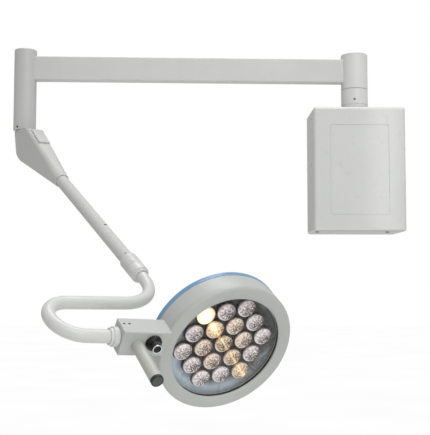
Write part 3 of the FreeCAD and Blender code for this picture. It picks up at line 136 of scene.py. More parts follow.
# --------------------------------------------------------------- node helper
class Nodes:
    """Builds the shader nodes of a material or a world."""

    BSDF_INPUTS = {
        "color": "Base Color", "rough": "Roughness", "metal": "Metallic", "normal": "Normal",
        "coat": "Coat Weight", "coat_rough": "Coat Roughness", "spec": "Specular IOR Level",
        "emit": "Emission Color", "emit_s": "Emission Strength"}

    def __init__(self, owner, output="OutputMaterial"):
        owner.use_nodes = True
        self.owner = owner
        self.tree = owner.node_tree
        self.tree.nodes.clear()
        self.output = self.new(output)
        self.coordinate = None

    def new(self, kind, inputs=None, **properties):
        node = self.tree.nodes.new("ShaderNode" + kind)
        for key, value in properties.items():
            setattr(node, key, value)
        for key, value in (inputs or {}).items():
            self.set(node.inputs[key], value)
        return node

    def set(self, socket, value):
        """Links a socket, or sets a number, a vector or an RGB colour."""
        if isinstance(value, bpy.types.NodeSocket):
            self.tree.links.new(value, socket)
        elif socket.type == "RGBA":
            socket.default_value = (*value, 1.0)
        else:
            socket.default_value = value

    def object_space(self):
        if self.coordinate is None:
            self.coordinate = self.new("TexCoord").outputs["Object"]
        return self.coordinate

    def noise(self, scale, detail=2.0, rough=0.5, warp=0.0, stretch=None, turn=(0, 0, 0)):
        vector = self.object_space()
        if stretch:
            vector = self.new("Mapping", {
                "Vector": vector, "Scale": stretch, "Rotation": turn}).outputs["Vector"]
        return self.new("TexNoise", {
            "Scale": scale, "Detail": detail, "Roughness": rough, "Distortion": warp,
            "Vector": vector}).outputs["Fac"]

    def map_range(self, value, band, to=(0, 1)):
        return self.new("MapRange", {
            0: value, 1: band[0], 2: band[1], 3: to[0], 4: to[1]}).outputs[0]

    def drift(self, to=(0, 1), band=(0.3, 0.7), **noise):
        """Noise with the given band of its values spread over a new range."""
        return self.map_range(self.noise(**noise), band, to)

    def voronoi(self, scale, feature="F1", output="Distance"):
        node = self.new("TexVoronoi", feature=feature)
        self.set(node.inputs["Scale"], scale)
        self.set(node.inputs["Vector"], self.object_space())
        return node.outputs[output]

    def ramp(self, value, stops):
        """Stops are (position, colour), the colour RGB or a single grey."""
        node = self.new("ValToRGB", {"Fac": value})
        elements = node.color_ramp.elements
        while len(elements) < len(stops):
            elements.new(0.5)
        for element, (position, color) in zip(elements, stops):
            rgb = (color,) * 3 if isinstance(color, float) else color
            element.position = position
            element.color = (*rgb, 1.0)
        return node.outputs["Color"]

    def mix(self, factor, a, b, mode="MIX"):
        return self.new("Mix", data_type="RGBA", blend_type=mode,
                        inputs={0: factor, 6: a, 7: b}).outputs[2]

    def math(self, operation, a, b=0.0, clamp=False):
        return self.new("Math", {0: a, 1: b}, operation=operation, use_clamp=clamp).outputs[0]

    def mul(self, a, b):
        return self.math("MULTIPLY", a, b)

    def add(self, a, b, clamp=False):
        return self.math("ADD", a, b, clamp)

    def sub(self, a, b, clamp=False):
        return self.math("SUBTRACT", a, b, clamp)

    def along(self, origin, axis):
        """Distance in metres from origin along axis."""
        offset = self.new("VectorMath", {0: self.object_space(), 1: origin},
                          operation="SUBTRACT")
        return self.new("VectorMath", {0: offset.outputs[0], 1: axis},
                        operation="DOT_PRODUCT").outputs["Value"]

    def channels(self, color):
        return self.new("SeparateColor", {0: color}).outputs

    def bump(self, height, strength, distance, normal=None):
        node = self.new("Bump", {"Strength": strength, "Distance": distance, "Height": height})
        if normal is not None:
            self.set(node.inputs["Normal"], normal)
        return node.outputs["Normal"]

    def bsdf(self, **values):
        inputs = {self.BSDF_INPUTS[key]: value for key, value in values.items()}
        return self.new("BsdfPrincipled", inputs).outputs[0]

    def mix_shader(self, factor, a, b):
        return self.new("MixShader", {0: factor, 1: a, 2: b}).outputs[0]

    def done(self, shader):
        self.set(self.output.inputs["Surface"], shader)
        return self.owner


def material_nodes(name):
    return Nodes(bpy.data.materials.new(name))


def clamp(value):
    return max(0.0, min(1.0, value))


def tint(color, factor):
    return tuple(clamp(x * factor) for x in color)


# ------------------------------------------------------------------ finishes
def paint(name, base, rough, vary=0.05, peel=0.10, peel_scale=650.0, coat=0.0,
          coat_rough=0.12, spec=0.5, grime=0.08, wave=0.03, under=0.0):
    """Powder coat or moulded plastic: slow colour drift, faint smudges, fine dust,
    orange peel and hairline marks in the gloss. The last argument paints shade on the
    faces that look down."""
    n = material_nodes(name)
    color = n.mix(n.drift(scale=4.0, detail=3.0), tint(base, 1 - vary), tint(base, 1 + vary))
    smudge = n.drift(band=(0.50, 0.80), scale=26.0, detail=5.0, rough=0.62, warp=0.8)
    color = n.mix(n.mul(smudge, grime), color, tint(base, 0.70))
    dust = n.drift(band=(0.70, 0.78), scale=900.0, detail=1.0)
    color = n.mix(n.mul(dust, 0.06), color, tint(base, 0.55))
    # painted shade: faces that look down are darkened towards a third of the base colour
    if under:
        normal = n.new("NewGeometry").outputs["Normal"]
        height = n.new("SeparateXYZ", {0: normal}).outputs["Z"]
        down = n.map_range(height, band=(-0.95, -0.45), to=(1, 0))
        color = n.mix(n.mul(down, under), color, tint(base, 0.35))
    gloss = n.drift(to=(rough - 0.05, rough + 0.06), scale=34.0, detail=5.0, rough=0.6)
    hairline = n.drift(band=(0.66, 0.72), scale=70.0, stretch=(0.12, 3.0, 3.0),
                       turn=(0.4, 0.7, 0.2))
    gloss = n.add(gloss, n.mul(hairline, 0.05))
    normal = n.bump(n.noise(scale=peel_scale, rough=0.45), strength=peel, distance=0.0003)
    normal = n.bump(n.noise(scale=9.0, detail=1.0, rough=0.4), strength=wave,
                    distance=0.004, normal=normal)
    return n.done(n.bsdf(color=color, rough=gloss, normal=normal, coat=coat,
                         coat_rough=coat_rough, spec=spec))


# stretch of the tool-mark noise: along X, along Y, or round the piece
TOOL_MARKS = {"x": (2, 90, 90), "y": (90, 2, 90), "turn": (8, 8, 260)}


def metal(name, base, rough, marks="turn", streak=0.25):
    """Turned or brushed metal with fine tool marks."""
    n = material_nodes(name)
    streaks = n.noise(scale=12.0, detail=5.0, rough=0.65, stretch=TOOL_MARKS[marks])
    color = n.mix(n.drift(scale=25.0, detail=3.0, rough=0.6), tint(base, 0.92),
                  tint(base, 1.08))
    gloss = n.map_range(streaks, band=(0.3, 0.7), to=(rough - 0.08, rough + 0.12))
    normal = n.bump(streaks, strength=streak, distance=0.00012)
    return n.done(n.bsdf(color=color, rough=gloss, metal=1.0, normal=normal))


def rubber(name, base, rough):
    n = material_nodes(name)
    color = n.mix(n.drift(scale=45.0, detail=4.0, rough=0.6), tint(base, 0.75),
                  tint(base, 1.6))
    normal = n.bump(n.noise(scale=1400.0), strength=0.22, distance=0.0003)
    gloss = n.drift(to=(rough - 0.12, rough + 0.08), scale=90.0, detail=3.0)
    return n.done(n.bsdf(color=color, rough=gloss, normal=normal, spec=0.4))


def board(name, base, trace):
    """Solder mask over copper tracks and small pads."""
    n = material_nodes(name)
    tracks = n.ramp(n.voronoi(scale=220.0, feature="DISTANCE_TO_EDGE"),
                    [(0.0, 1.0), (0.06, 1.0), (0.10, 0.0)])
    pads = n.ramp(n.voronoi(scale=420.0), [(0.0, 1.0), (0.16, 1.0), (0.20, 0.0)])
    color = n.mix(n.mul(tracks, 0.5), base, trace)
    color = n.mix(n.mul(pads, 0.7), color, (0.62, 0.60, 0.52))
    gloss = n.drift(to=(0.30, 0.48), scale=80.0, detail=3.0)
    normal = n.bump(tracks, strength=0.25, distance=0.0001)
    return n.done(n.bsdf(color=color, rough=gloss, normal=normal, spec=0.5))


def holder(name):
    """Glossy carrier plate: near black between the lenses. Its rim carries a painted
    reflection, a blue-grey sheen towards -Y of the lamp and mottled grey elsewhere,
    and painted shade of the bezel widens the near-black field on the side away from the sheen."""
    n = material_nodes(name)
    x, y = n.along(LAMP_ORIGIN, LAMP_X), n.along(LAMP_ORIGIN, LAMP_Y)
    radius = n.math("SQRT", n.add(n.mul(x, x), n.mul(y, y)))
    # distance from the centre towards the side with the painted sheen
    low = n.add(n.mul(x, -0.42), n.mul(y, -0.91))
    cloud = n.noise(scale=16.0, detail=4.0, rough=0.6, warp=0.8)
    mottle = n.mix(n.drift(band=(0.35, 0.68), scale=38.0, detail=5.0, rough=0.65, warp=1.2),
                   (0.110, 0.112, 0.108), (0.460, 0.470, 0.460))
    # painted reflection: blue-grey sheen for the rim
    sheen = n.mix(n.map_range(cloud, band=(0.3, 0.7)),
                  (0.560, 0.650, 0.740), (0.720, 0.800, 0.880))
    # painted reflection: the rim turns from mottled grey to the blue-grey sheen towards -Y
    rim = n.mix(n.map_range(low, band=(0.030, 0.062)), mottle, sheen)
    dark = n.mix(n.drift(band=(0.35, 0.7), scale=60.0, detail=3.0, rough=0.6),
                 (0.010, 0.006, 0.005), (0.040, 0.027, 0.024))
    # the dark field ends on a ragged circle, pushed further out by painted shade on the side away from the sheen
    ragged = n.add(radius, n.mul(n.sub(cloud, 0.5), 0.020))
    bezel_shade = n.mul(n.map_range(low, band=(-0.060, -0.020), to=(1, 0)), 0.018)
    color = n.mix(n.map_range(n.sub(ragged, bezel_shade), band=(0.083, 0.100)), dark, rim)
    gloss = n.drift(to=(0.22, 0.40), scale=30.0, detail=4.0)
    normal = n.bump(n.noise(scale=40.0, detail=3.0), strength=0.04, distance=0.0008)
    return n.done(n.bsdf(color=color, rough=gloss, metal=0.1, normal=normal, coat=0.15,
                         coat_rough=0.3))


def glass_pane(name):
    """Clear pane: straight-through view with a faint tint, a Fresnel sheen and smears."""
    n = material_nodes(name)
    clear = n.new("BsdfTransparent", {"Color": (0.955, 0.965, 0.965)})
    gloss = n.new("BsdfGlossy", {
        "Color": (0.9, 0.93, 0.95),
        "Roughness": n.drift(to=(0.03, 0.09), scale=18.0, detail=4.0, rough=0.6),
        "Normal": n.bump(n.noise(scale=6.0, detail=1.0), strength=0.05, distance=0.003)})
    fresnel = n.new("Fresnel", {"IOR": 1.40})
    smear = n.drift(to=(0.0, 0.02), band=(0.50, 0.8), scale=9.0, detail=5.0, rough=0.6,
                    warp=1.0)
    sheen = n.add(n.mul(fresnel.outputs[0], 0.16), smear, clamp=True)
    # shadow rays pass straight through
    shadow = n.new("LightPath").outputs["Is Shadow Ray"]
    sheen = n.mul(sheen, n.sub(1.0, shadow))
    return n.done(n.mix_shader(sheen, clear.outputs[0], gloss.outputs[0]))


def lens(name, light, mid, dark, gain=0.24):
    """Moulded acrylic collimator. The attribute "tone" holds the brightness of each facet in red,
    painted highlights and shade included, and its painted glow in green; `gain` is the painted
    glow an unlit facet gives off in its own colour."""
    n = material_nodes(name)
    facet = n.channels(n.new("Attribute", attribute_name="tone").outputs["Color"])
    tone, glow = facet[0], facet[1]
    sparkle = n.channels(n.voronoi(scale=900.0, output="Color"))
    bright = n.add(tone, n.mul(n.sub(sparkle[0], 0.5), 0.16), clamp=True)
    color = n.ramp(bright, [(0.0, tint(dark, 0.5)), (0.25, dark), (0.52, mid), (0.78, light),
                            (1.0, tint(light, 1.15))])
    # painted glow: warm-white light emitted by the glow channel, for the painted streak and the glowing lens
    painted_glow_color = n.ramp(glow, [(0.0, (0.0, 0.0, 0.0)), (0.30, (0.42, 0.20, 0.06)),
                        (0.62, (0.95, 0.66, 0.34)), (1.0, (1.0, 0.93, 0.80))])
    # painted glow: unlit facets also emit their own colour scaled by gain
    unlit = n.mix(n.sub(1.0, glow, clamp=True), (0, 0, 0),
                  n.mix(1.0, color, (gain, gain, gain), "MULTIPLY"))
    return n.done(n.bsdf(
        color=color, rough=n.map_range(sparkle[1], band=(0, 1), to=(0.12, 0.34)),
        spec=0.6, coat=0.4, coat_rough=0.10,
        normal=n.bump(n.voronoi(scale=420.0, feature="SMOOTH_F1"), strength=0.05,
                      distance=0.0006),
        emit=n.mix(1.0, unlit, painted_glow_color, "ADD"), emit_s=1.0))


# base colours are in linear light
HEAD_COAT = dict(rough=0.40, peel=0.08, coat=0.2, coat_rough=0.3)
ARM_COAT = dict(rough=0.42, peel=0.06, coat=0.15, coat_rough=0.3)
FINISHES = [
    (paint, {
        "housing_paint": dict(base=(0.490, 0.500, 0.478), **HEAD_COAT),
        "arm_paint": dict(base=(0.610, 0.612, 0.598), **ARM_COAT),
        "hub_paint": dict(base=(0.715, 0.720, 0.708), **ARM_COAT),
        "elbow_paint": dict(base=(0.545, 0.552, 0.536), **ARM_COAT),
        "spring_tube_paint": dict(base=(0.570, 0.573, 0.560), rough=0.62, peel=0.03,
                                  spec=0.25),
        # box_paint: its last value paints shade on the faces that look down
        "box_paint": dict(base=(0.645, 0.654, 0.644), rough=0.30, peel=0.04,
                          peel_scale=420.0, coat=0.8, coat_rough=0.09, vary=0.025,
                          grime=0.03, wave=0.5, under=0.55),
        "tube_paint": dict(base=(0.655, 0.662, 0.640), rough=0.36, peel=0.05, coat=0.35,
                           coat_rough=0.18, vary=0.03),
        "cover_plastic": dict(base=(0.550, 0.553, 0.530), rough=0.52, peel=0.14,
                              peel_scale=900.0),
        "blue_plastic": dict(base=(0.150, 0.310, 0.500), rough=0.34, peel=0.05, coat=0.4,
                             vary=0.06),
        "black_plastic": dict(base=(0.0065, 0.0065, 0.007), rough=0.28, peel=0.08,
                              vary=0.2, grime=0.2, spec=0.35),
        "handle_paint": dict(base=(0.490, 0.496, 0.452), rough=0.42, peel=0.20,
                             peel_scale=800.0, coat=0.15, coat_rough=0.3),
        "bezel_paint": dict(base=(0.470, 0.484, 0.458), **HEAD_COAT),
        "cap_band": dict(base=(0.018, 0.019, 0.016), rough=0.42, peel=0.12, vary=0.15),
        "sleeve_black": dict(base=(0.012, 0.009, 0.008), rough=0.40, vary=0.2),
        "dark_cap": dict(base=(0.082, 0.090, 0.072), rough=0.50, peel=0.18, vary=0.12),
    }),
    (rubber, {
        "rubber_black": dict(base=(0.018, 0.018, 0.019), rough=0.75),
        "cable_black": dict(base=(0.016, 0.016, 0.017), rough=0.55),
    }),
    (metal, {
        "steel": dict(base=(0.56, 0.56, 0.57), rough=0.28),
        "zinc_steel": dict(base=(0.60, 0.60, 0.58), rough=0.36, marks="x"),
        "spring_steel": dict(base=(0.20, 0.20, 0.22), rough=0.34),
        "bronze": dict(base=(0.56, 0.36, 0.16), rough=0.38),
        "fastener": dict(base=(0.20, 0.20, 0.21), rough=0.34),
        "trim_chrome": dict(base=(0.82, 0.83, 0.86), rough=0.14, streak=0.05),
        "psu_case": dict(base=(0.66, 0.67, 0.68), rough=0.34, marks="x"),
        "heat_aluminium": dict(base=(0.50, 0.51, 0.53), rough=0.42, marks="y"),
    }),
    (board, {
        "board_green": dict(base=(0.020, 0.110, 0.045), trace=(0.05, 0.22, 0.08)),
        "led_board_white": dict(base=(0.62, 0.62, 0.60), trace=(0.50, 0.50, 0.48)),
    }),
    (holder, {"holder_grey": {}}),
    (glass_pane, {"front_glass": {}}),
    (lens, {
        "lens_outer": dict(light=(0.84, 0.75, 0.745), mid=(0.42, 0.345, 0.335),
                           dark=(0.085, 0.056, 0.046)),
        "lens_inner": dict(light=(0.86, 0.70, 0.59), mid=(0.42, 0.285, 0.215),
                           dark=(0.080, 0.042, 0.026)),
        # painted light: the next two finishes carry the painted light streak and the painted glow of one lens;
        # gain is a painted glow in each lens's own colour
        "lens_warm": dict(light=(0.90, 0.71, 0.52), mid=(0.44, 0.30, 0.20),
                          dark=(0.060, 0.034, 0.020), gain=0.16),
        "lens_lit": dict(light=(0.95, 0.88, 0.74), mid=(0.80, 0.66, 0.48),
                         dark=(0.40, 0.28, 0.18), gain=0.5),
    }),
]
MATERIALS = {name: make(name, **look) for make, looks in FINISHES
             for name, look in looks.items()}

# --------------------------------------------------------------- CAD carried
REBUILT = {
    "led_lenses", "lamp_housing", "front_bezel", "rear_trim_ring", "s_tube", "lamp_spindle",
    "swivel_ring", "end_collar", "handle_grip", "handle_cap", "dimmer_knob"}
# nodes whose finish differs from their slot
FINISH = {"arm_hub": "hub_paint", "post_base": "hub_paint", "post_collar": "hub_paint",
          "elbow_tube": "elbow_paint", "spring_arm_tube": "spring_tube_paint"}
# bevel widths of the flat-sided nodes, in metres
BEVEL = {
    "wall_box_cover": 0.0005, "front_service_panel": 0.0006, "wall_back_plate": 0.0004,
    "post_bracket": 0.0006, "power_supply": 0.0004, "control_board": 0.0003,
    "mains_terminal_block": 0.0006, "horizontal_arm": 0.0004, "knuckle_fork": 0.0006,
    "knuckle_cover_left": 0.0005, "knuckle_cover_right": 0.0005,
    "tension_access_cap": 0.0004, "lamp_block": 0.0006, "arm_root": 0.0004,
    "heat_sink": 0.0002}
WELD_DISTANCE = 0.000004
BEVEL_ANGLE = RAD(35)


def soften_edges(obj, width):
    weld = obj.modifiers.new("weld", "WELD")
    weld.merge_threshold = WELD_DISTANCE
    bevel = obj.modifiers.new("bevel", "BEVEL")
    bevel.width = width
    bevel.segments = 2
    bevel.limit_method = "ANGLE"
    bevel.angle_limit = BEVEL_ANGLE
    bevel.use_clamp_overlap = True
    bevel.harden_normals = False
    bevel.miter_outer = "MITER_ARC"
    normals = obj.modifiers.new("normals", "WEIGHTED_NORMAL")
    normals.keep_sharp = True
    normals.weight = 80


def dress(name):
    """A CAD node keeps its shape and gets its finish; flat-sided ones get soft edges."""
    obj = NODE[name]
    material = MATERIALS[FINISH.get(name) or SLOT[name]]
    obj.data.materials.clear()
    obj.data.materials.append(material)
    for polygon in obj.data.polygons:
        polygon.use_smooth = True
        polygon.material_index = 0
    if name in BEVEL:
        soften_edges(obj, BEVEL[name])


for node_name in NODE:
    if node_name not in REBUILT:
        dress(node_name)


# ---------------------------------------------------------------- mesh tools
def put(name, bm, matrix, body, materials, replaces=None, smooth=None):
    """Makes the object, smooth-shaded below the angle `smooth` (degrees) if given."""
    bmesh.ops.recalc_face_normals(bm, faces=bm.faces)
    mesh = bpy.data.meshes.new(name)
    bm.normal_update()
    bm.to_mesh(mesh)
    bm.free()
    obj = bpy.data.objects.new(name, mesh)
    SCENE.collection.objects.link(obj)
    for material in materials:
        mesh.materials.append(MATERIALS[material])
    obj.matrix_world = matrix
    if smooth is not None:
        for polygon in mesh.polygons:
            polygon.use_smooth = True
        mesh.set_sharp_from_angle(angle=RAD(smooth))
    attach(obj, body)
    if replaces:
        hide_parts(replaces)


def circle(bm, r, z, seg, x=0.0, y=0.0, shift=0.0, turn=0.0):
    """Ring of vertices, turned by `shift` segments and `turn` radians."""
    angles = [2 * PI * (k + shift) / seg + turn for k in range(seg)]
    return [bm.verts.new(mm(x + r * math.cos(a), y + r * math.sin(a), z)) for a in angles]


def bridge(bm, a, b):
    """Faces between two rings; a ring of one vertex is a point on the axis."""
    seg = max(len(a), len(b))
    if seg == 1:
        return
    for k in range(seg):
        k2 = (k + 1) % seg
        if len(a) == 1:
            bm.faces.new((a[0], b[k2], b[k]))
        elif len(b) == 1:
            bm.faces.new((a[k], a[k2], b[0]))
        else:
            bm.faces.new((a[k], a[k2], b[k2], b[k]))


def lathe(bm, outline, seg, x=0.0, y=0.0):
    """Turns a closed (r, z) outline in mm about +Z."""
    rings = [[bm.verts.new(mm(x, y, z))] if r < 1e-6 else circle(bm, r, z, seg, x, y)
             for r, z in outline]
    for i, ring in enumerate(rings):
        bridge(bm, ring, rings[(i + 1) % len(rings)])


def arc(cx, cy, r, start, end, steps):
    """Points on an arc between two angles in degrees."""
    angles = [RAD(start + (end - start) * i / steps) for i in range(steps + 1)]
    return [(cx + r * math.cos(a), cy + r * math.sin(a)) for a in angles]


def rounded(outline, radius, steps=3):
    """Rounds the corners of a closed outline; flat corners and axis points stay."""
    out = []
    for i, point in enumerate(outline):
        p = Vector(point)
        back = Vector(outline[i - 1]) - p
        ahead = Vector(outline[(i + 1) % len(outline)]) - p
        if (p.x < 1e-6 or back.length < 1e-6 or ahead.length < 1e-6
                or back.angle(ahead) > RAD(165)):
            out.append((p.x, p.y))
            continue
        cut = min(radius / math.tan(back.angle(ahead) / 2), back.length * 0.42,
                  ahead.length * 0.42)
        start, end = p + back.normalized() * cut, p + ahead.normalized() * cut
        for k in range(steps + 1):
            t = k / steps
            v = start * (1 - t) ** 2 + p * 2 * t * (1 - t) + end * t ** 2
            out.append((v.x, v.y))
    return out


# -------------------------------------------------------------------- lenses
# hexagonal grid: (row, column) -> x, y in LAMP
LENSES = {}
for row, count in enumerate((3, 4, 5, 4, 3)):
    for column in range(count):
        gx, gy = column - (count - 1) / 2.0, -(row - 2) * math.sqrt(3) / 2
        cos, sin = math.cos(LENS_GRID_TURN), math.sin(LENS_GRID_TURN)
        LENSES[row, column] = (LENS_PITCH * (gx * cos - gy * sin) + LENS_GRID_OFFSET[0],
                               LENS_PITCH * (gx * sin + gy * cos) + LENS_GRID_OFFSET[1])
# lens given a painted glow, as if its LED shone
PAINTED_GLOW_LENS = (0, 0)
CENTRE = (2, 2)
# painted light streak across these lenses, a reflection painted as glow: half-width in mm, strength, gain along
# the streak
PAINTED_STREAK = {(1, 1): (8.0, 0.86, -0.25), (2, 2): (1.7, 0.80, 0.0),
        (3, 2): (2.8, 0.70, 0.55), (4, 2): (5.5, 0.78, 0.45)}
INNER = {(1, 1), (1, 2), (2, 1), (2, 2), (2, 3), (3, 1), (3, 2)}
# the painted streak runs from the lens with the painted glow through the centre one
STREAK = Vector([c - l for c, l in zip(LENSES[CENTRE], LENSES[PAINTED_GLOW_LENS])]).normalized()
RANDOM = random.Random(7)
LENS_SEG = 22

# collimator from the back to the front: r, z, shift of the ring in segments
LENS_PARTS = {
    "cone": [(3.4, -26.0, 0), (7.0, -26.4, 0), (8.6, -24.2, 0.5), (10.6, -20.8, 0),
             (12.6, -17.0, 0.5), (14.4, -13.4, 0), (16.0, -9.8, 0.5), (17.2, -6.8, 0)],
    "rim": [(17.9, -6.3, 0), (18.2, -5.7, 0), (18.2, -3.6, 0), (17.9, -3.0, 0),
            (17.4, -2.7, 0)],
    "front": [(16.7, -2.5, 0), (15.2, -1.1, 0.5), (13.0, -0.1, 0), (10.4, 0.55, 0.5),
              (7.6, 1.0, 0), (4.8, 1.35, 0.5), (2.2, 1.5, 0)]}
FRONT_TIP_Z = 1.55
HOLLOW_R, HOLLOW_Z, HOLLOW_TIP_Z = 3.4, -22.4, -21.6


def facet_tone(part, x, y, chance, tilt):
    """Brightness of a facet, painted with highlights and shade: a bright crescent, glints, a lighter -X/+Y side, a
    shaded +X side and a darker core, plus random scatter; x and y are in LENS_SCALE from the lens centre.
    """
    low_side = -0.35 * x - 0.94 * y
    if part == "rim":
        # painted highlight on the low side of the rim, painted shade on its +X side
        shade = 0.38 * max(0.0, 0.9 * x + 0.3 * y)
        return 0.50 + 0.45 * max(0.0, low_side) - shade + 0.25 * (chance - 0.5)
    if part == "cone":
        return 0.10 + 0.40 * chance
    r = math.hypot(x, y)
    if r > 0.80 and low_side > 0.55:
        return 0.86                                  # bright crescent at the edge
    core = math.exp(-((x - 0.12) ** 2 + (y + 0.12) ** 2) / 0.30)
    if chance > 0.90 and core > 0.25:
        return 1.0                                   # glints near the middle
    # painted light: lighter towards -X and +Y, darker in the core
    tone = 0.62 + 0.22 * (-0.62 * x + 0.55 * y) + 0.5 * tilt - 0.30 * core
    tone -= 0.36 * max(0.0, 0.86 * x + 0.10 * y - 0.20)                # shaded +X side
    tone += 0.10 * math.cos(11.0 * math.atan2(y, x)) * min(1.0, r * 1.6)   # 11 rays
    return tone + (chance - 0.5) * (0.28 + 0.70 * core)                # scatter


def facet_glow(part, x, y, chance, place):
    # painted glow: one lens glows over its whole face, fading outward; the streak lenses glow along a painted
    # light streak
    if place == PAINTED_GLOW_LENS:
        r = math.hypot(x, y)
        fade = 0.95 * max(0.0, r - 0.45) + 0.30 * max(0.0, x + 0.5 * y)
        scatter = 0.35 * chance if r > 0.6 else 0.0
        return (1.0 if part != "cone" else 0.4) * max(0.30, 1.15 - fade - scatter)
    if place in PAINTED_STREAK:
        width, strength, gain = PAINTED_STREAK[place]
        across = LENS_SCALE * (x * STREAK.y - y * STREAK.x)
        along = x * STREAK.x + y * STREAK.y
        glow = strength * math.exp(-(across / width) ** 2) * clamp(0.80 + gain * along * 1.3)
        return glow * (0.75 + 0.35 * chance)
    return 0.0


def stitch(bm, a, b, shift_a, shift_b):
    """Quads between rings in step, triangles between rings half a segment apart."""
    faces = []
    for k in range(len(a)):
        k2 = (k + 1) % len(a)
        if shift_a == shift_b:
            corners = [(a[k], a[k2], b[k2], b[k])]
        elif shift_b > shift_a:
            corners = [(a[k], a[k2], b[k]), (a[k2], b[k2], b[k])]
        else:
            corners = [(a[k], a[k2], b[k2]), (a[k], b[k2], b[k])]
        faces += [bm.faces.new(c) for c in corners]
    return faces


def collimator(bm, layer, place):
    """Faceted cone, moulded rim, brilliant-cut dome, and a hollow at the back."""
    cx, cy = LENSES[place]
    turn = place[0] * 1.7 + place[1] * 0.6
    seg = LENS_SEG
    facets = []
    first = last = None
    for part, stations in LENS_PARTS.items():
        for r, z, shift in stations:
            ring = circle(bm, r, z, seg, cx, cy, shift, turn)
            if last:
                facets += [(f, part) for f in stitch(bm, last, ring, last_shift, shift)]
            else:
                first = ring
            last, last_shift = ring, shift
    tip = bm.verts.new(mm(cx, cy, FRONT_TIP_Z))
    for k in range(seg):
        facets.append((bm.faces.new((last[k], last[(k + 1) % seg], tip)), "front"))
    hollow = circle(bm, HOLLOW_R, HOLLOW_Z, seg, cx, cy, turn=turn)
    for k in range(seg):
        k2 = (k + 1) % seg
        facets.append((bm.faces.new((first[k2], first[k], hollow[k], hollow[k2])), "cone"))
    tip = bm.verts.new(mm(cx, cy, HOLLOW_TIP_Z))
    for k in range(seg):
        facets.append((bm.faces.new((hollow[(k + 1) % seg], hollow[k], tip)), "cone"))

    tilt = RANDOM.uniform(-0.12, 0.12)
    for face, part in facets:
        middle = face.calc_center_median() * 1000.0
        x, y = (middle.x - cx) / LENS_SCALE, (middle.y - cy) / LENS_SCALE
        chance = RANDOM.random()
        color = (clamp(facet_tone(part, x, y, chance, tilt)),
                 clamp(facet_glow(part, x, y, chance, place)), chance, 1.0)
        for loop in face.loops:
            loop[layer] = color


def lens_finish(place):
    if place == PAINTED_GLOW_LENS:
        return "lens_lit"
    if place in PAINTED_STREAK:
        return "lens_warm"
    return "lens_inner" if place in INNER else "lens_outer"


# the third and fourth objects hold the lenses with the painted streak and the painted glow
for finish, object_name in (
        ("lens_outer", "collimator_lenses_outer"), ("lens_inner", "collimator_lenses_inner"),
        ("lens_warm", "collimator_lenses_painted_streak"), ("lens_lit", "collimator_lens_painted_glow")):
    bm = bmesh.new()
    layer = bm.loops.layers.float_color.new("tone")
    for place in LENSES:
        if lens_finish(place) == finish:
            collimator(bm, layer, place)
    put(object_name, bm, LAMP, "lamp_head", [finish], "led_lenses")


# ------------------------------------------------------------- turned pieces
def turned(name, matrix, body, material, replaces, outline, radius, seg):
    """Turns a closed (r, z) outline with its corners rounded to `radius`."""
    bm = bmesh.new()
    lathe(bm, rounded(outline, radius), seg)
    put(name, bm, matrix, body, [material], replaces, smooth=40)


turned("lamp_housing_shell", LAMP, "lamp_head", "housing_paint", "lamp_housing", [
    (HOUSING_BORE_R, HOUSING_REAR), (HOUSING_R, HOUSING_REAR), (HOUSING_R, HOUSING_LIP),
    (114.2, HOUSING_LIP), (114.2, 0.4), (109.5, 0.4), (109.5, -1.6), (HOUSING_BORE_R, -1.6),
], radius=0.6, seg=192)

turned("bezel_ring", LAMP, "lamp_head", "bezel_paint", "front_bezel", [
    (114.25, 3.05), (HOUSING_R - 0.4, 3.05), (HOUSING_R, 3.5),
    *arc(HOUSING_R - BEZEL_ROUND, 5.6, BEZEL_ROUND, 4, 88, 10),
    (124.0, 10.95), (117.5, 10.6), (114.0, 10.0), (111.6, 9.2), (110.4, 8.5), (110.0, 7.7),
    (110.0, 5.6), (114.25, 5.6),
], radius=0.3, seg=192)

turned("blue_trim_band", LAMP, "lamp_head", "blue_plastic", "rear_trim_ring", [
    (130.0, -46.0), (136.3, -46.0), (136.6, -45.3), (136.6, -41.4), (136.2, -41.1),
    (136.2, -40.7), (136.6, -40.4), (136.6, -36.2), (136.3, HOUSING_REAR),
    (130.0, HOUSING_REAR),
], radius=0.25, seg=192)

turned("tube_flange_spindle", x_turned(BLOCK_ORIGIN, BLOCK_X, BLOCK_Y, BLOCK_Z),
       "bent_tube", "tube_paint", "lamp_spindle", [
    (5.0, 16.0), (9.98, 16.0), (9.98, 50.02), (TUBE_SOCKET_R, 50.02), (TUBE_SOCKET_R, 43.0),
    (15.0, 43.0), (15.8, 43.8), (15.8, 48.5), (17.6, 48.5), (18.3, 49.2), (18.3, 58.4),
    (17.6, 59.3), (10.0, 59.3), (10.0, 112.0), (12.4, 112.0), (12.4, 115.0), (5.0, 115.0),
], radius=0.4, seg=96)

turned("swivel_ring_body",
       x_turned(ARM_ORIGIN + ARM_X * (COLLAR_START + COLLAR_LENGTH), ARM_X, BENT_Y, BENT_Z),
       "bent_tube", "tube_paint", "swivel_ring", [
    (4.0, -62.0), (9.6, -62.0), (9.6, -58.0), (8.0, -58.0), (8.0, 0.15), (18.2, 0.15),
    (19.0, 1.0), (19.0, 23.5), (18.2, 24.4), (16.4, 25.2), (16.4, 29.0), (15.4, 30.0),
    (TUBE_SOCKET_R, 30.0), (TUBE_SOCKET_R, 10.0), (4.0, 10.0),
], radius=0.5, seg=96)

turned("end_collar_body",
       x_turned(ARM_ORIGIN + ARM_X * COLLAR_START, ARM_X, ARM_Y, ARM_Z),
       "spring_arm", "arm_paint", "end_collar", [
    (15.0, 0), (17.8, 0), (19.0, 1.2), (19.0, 34.4), (18.4, 35.0), (11.0, 35.0),
    (11.0, 20.0), (15.0, 20.0),
], radius=0.5, seg=96)

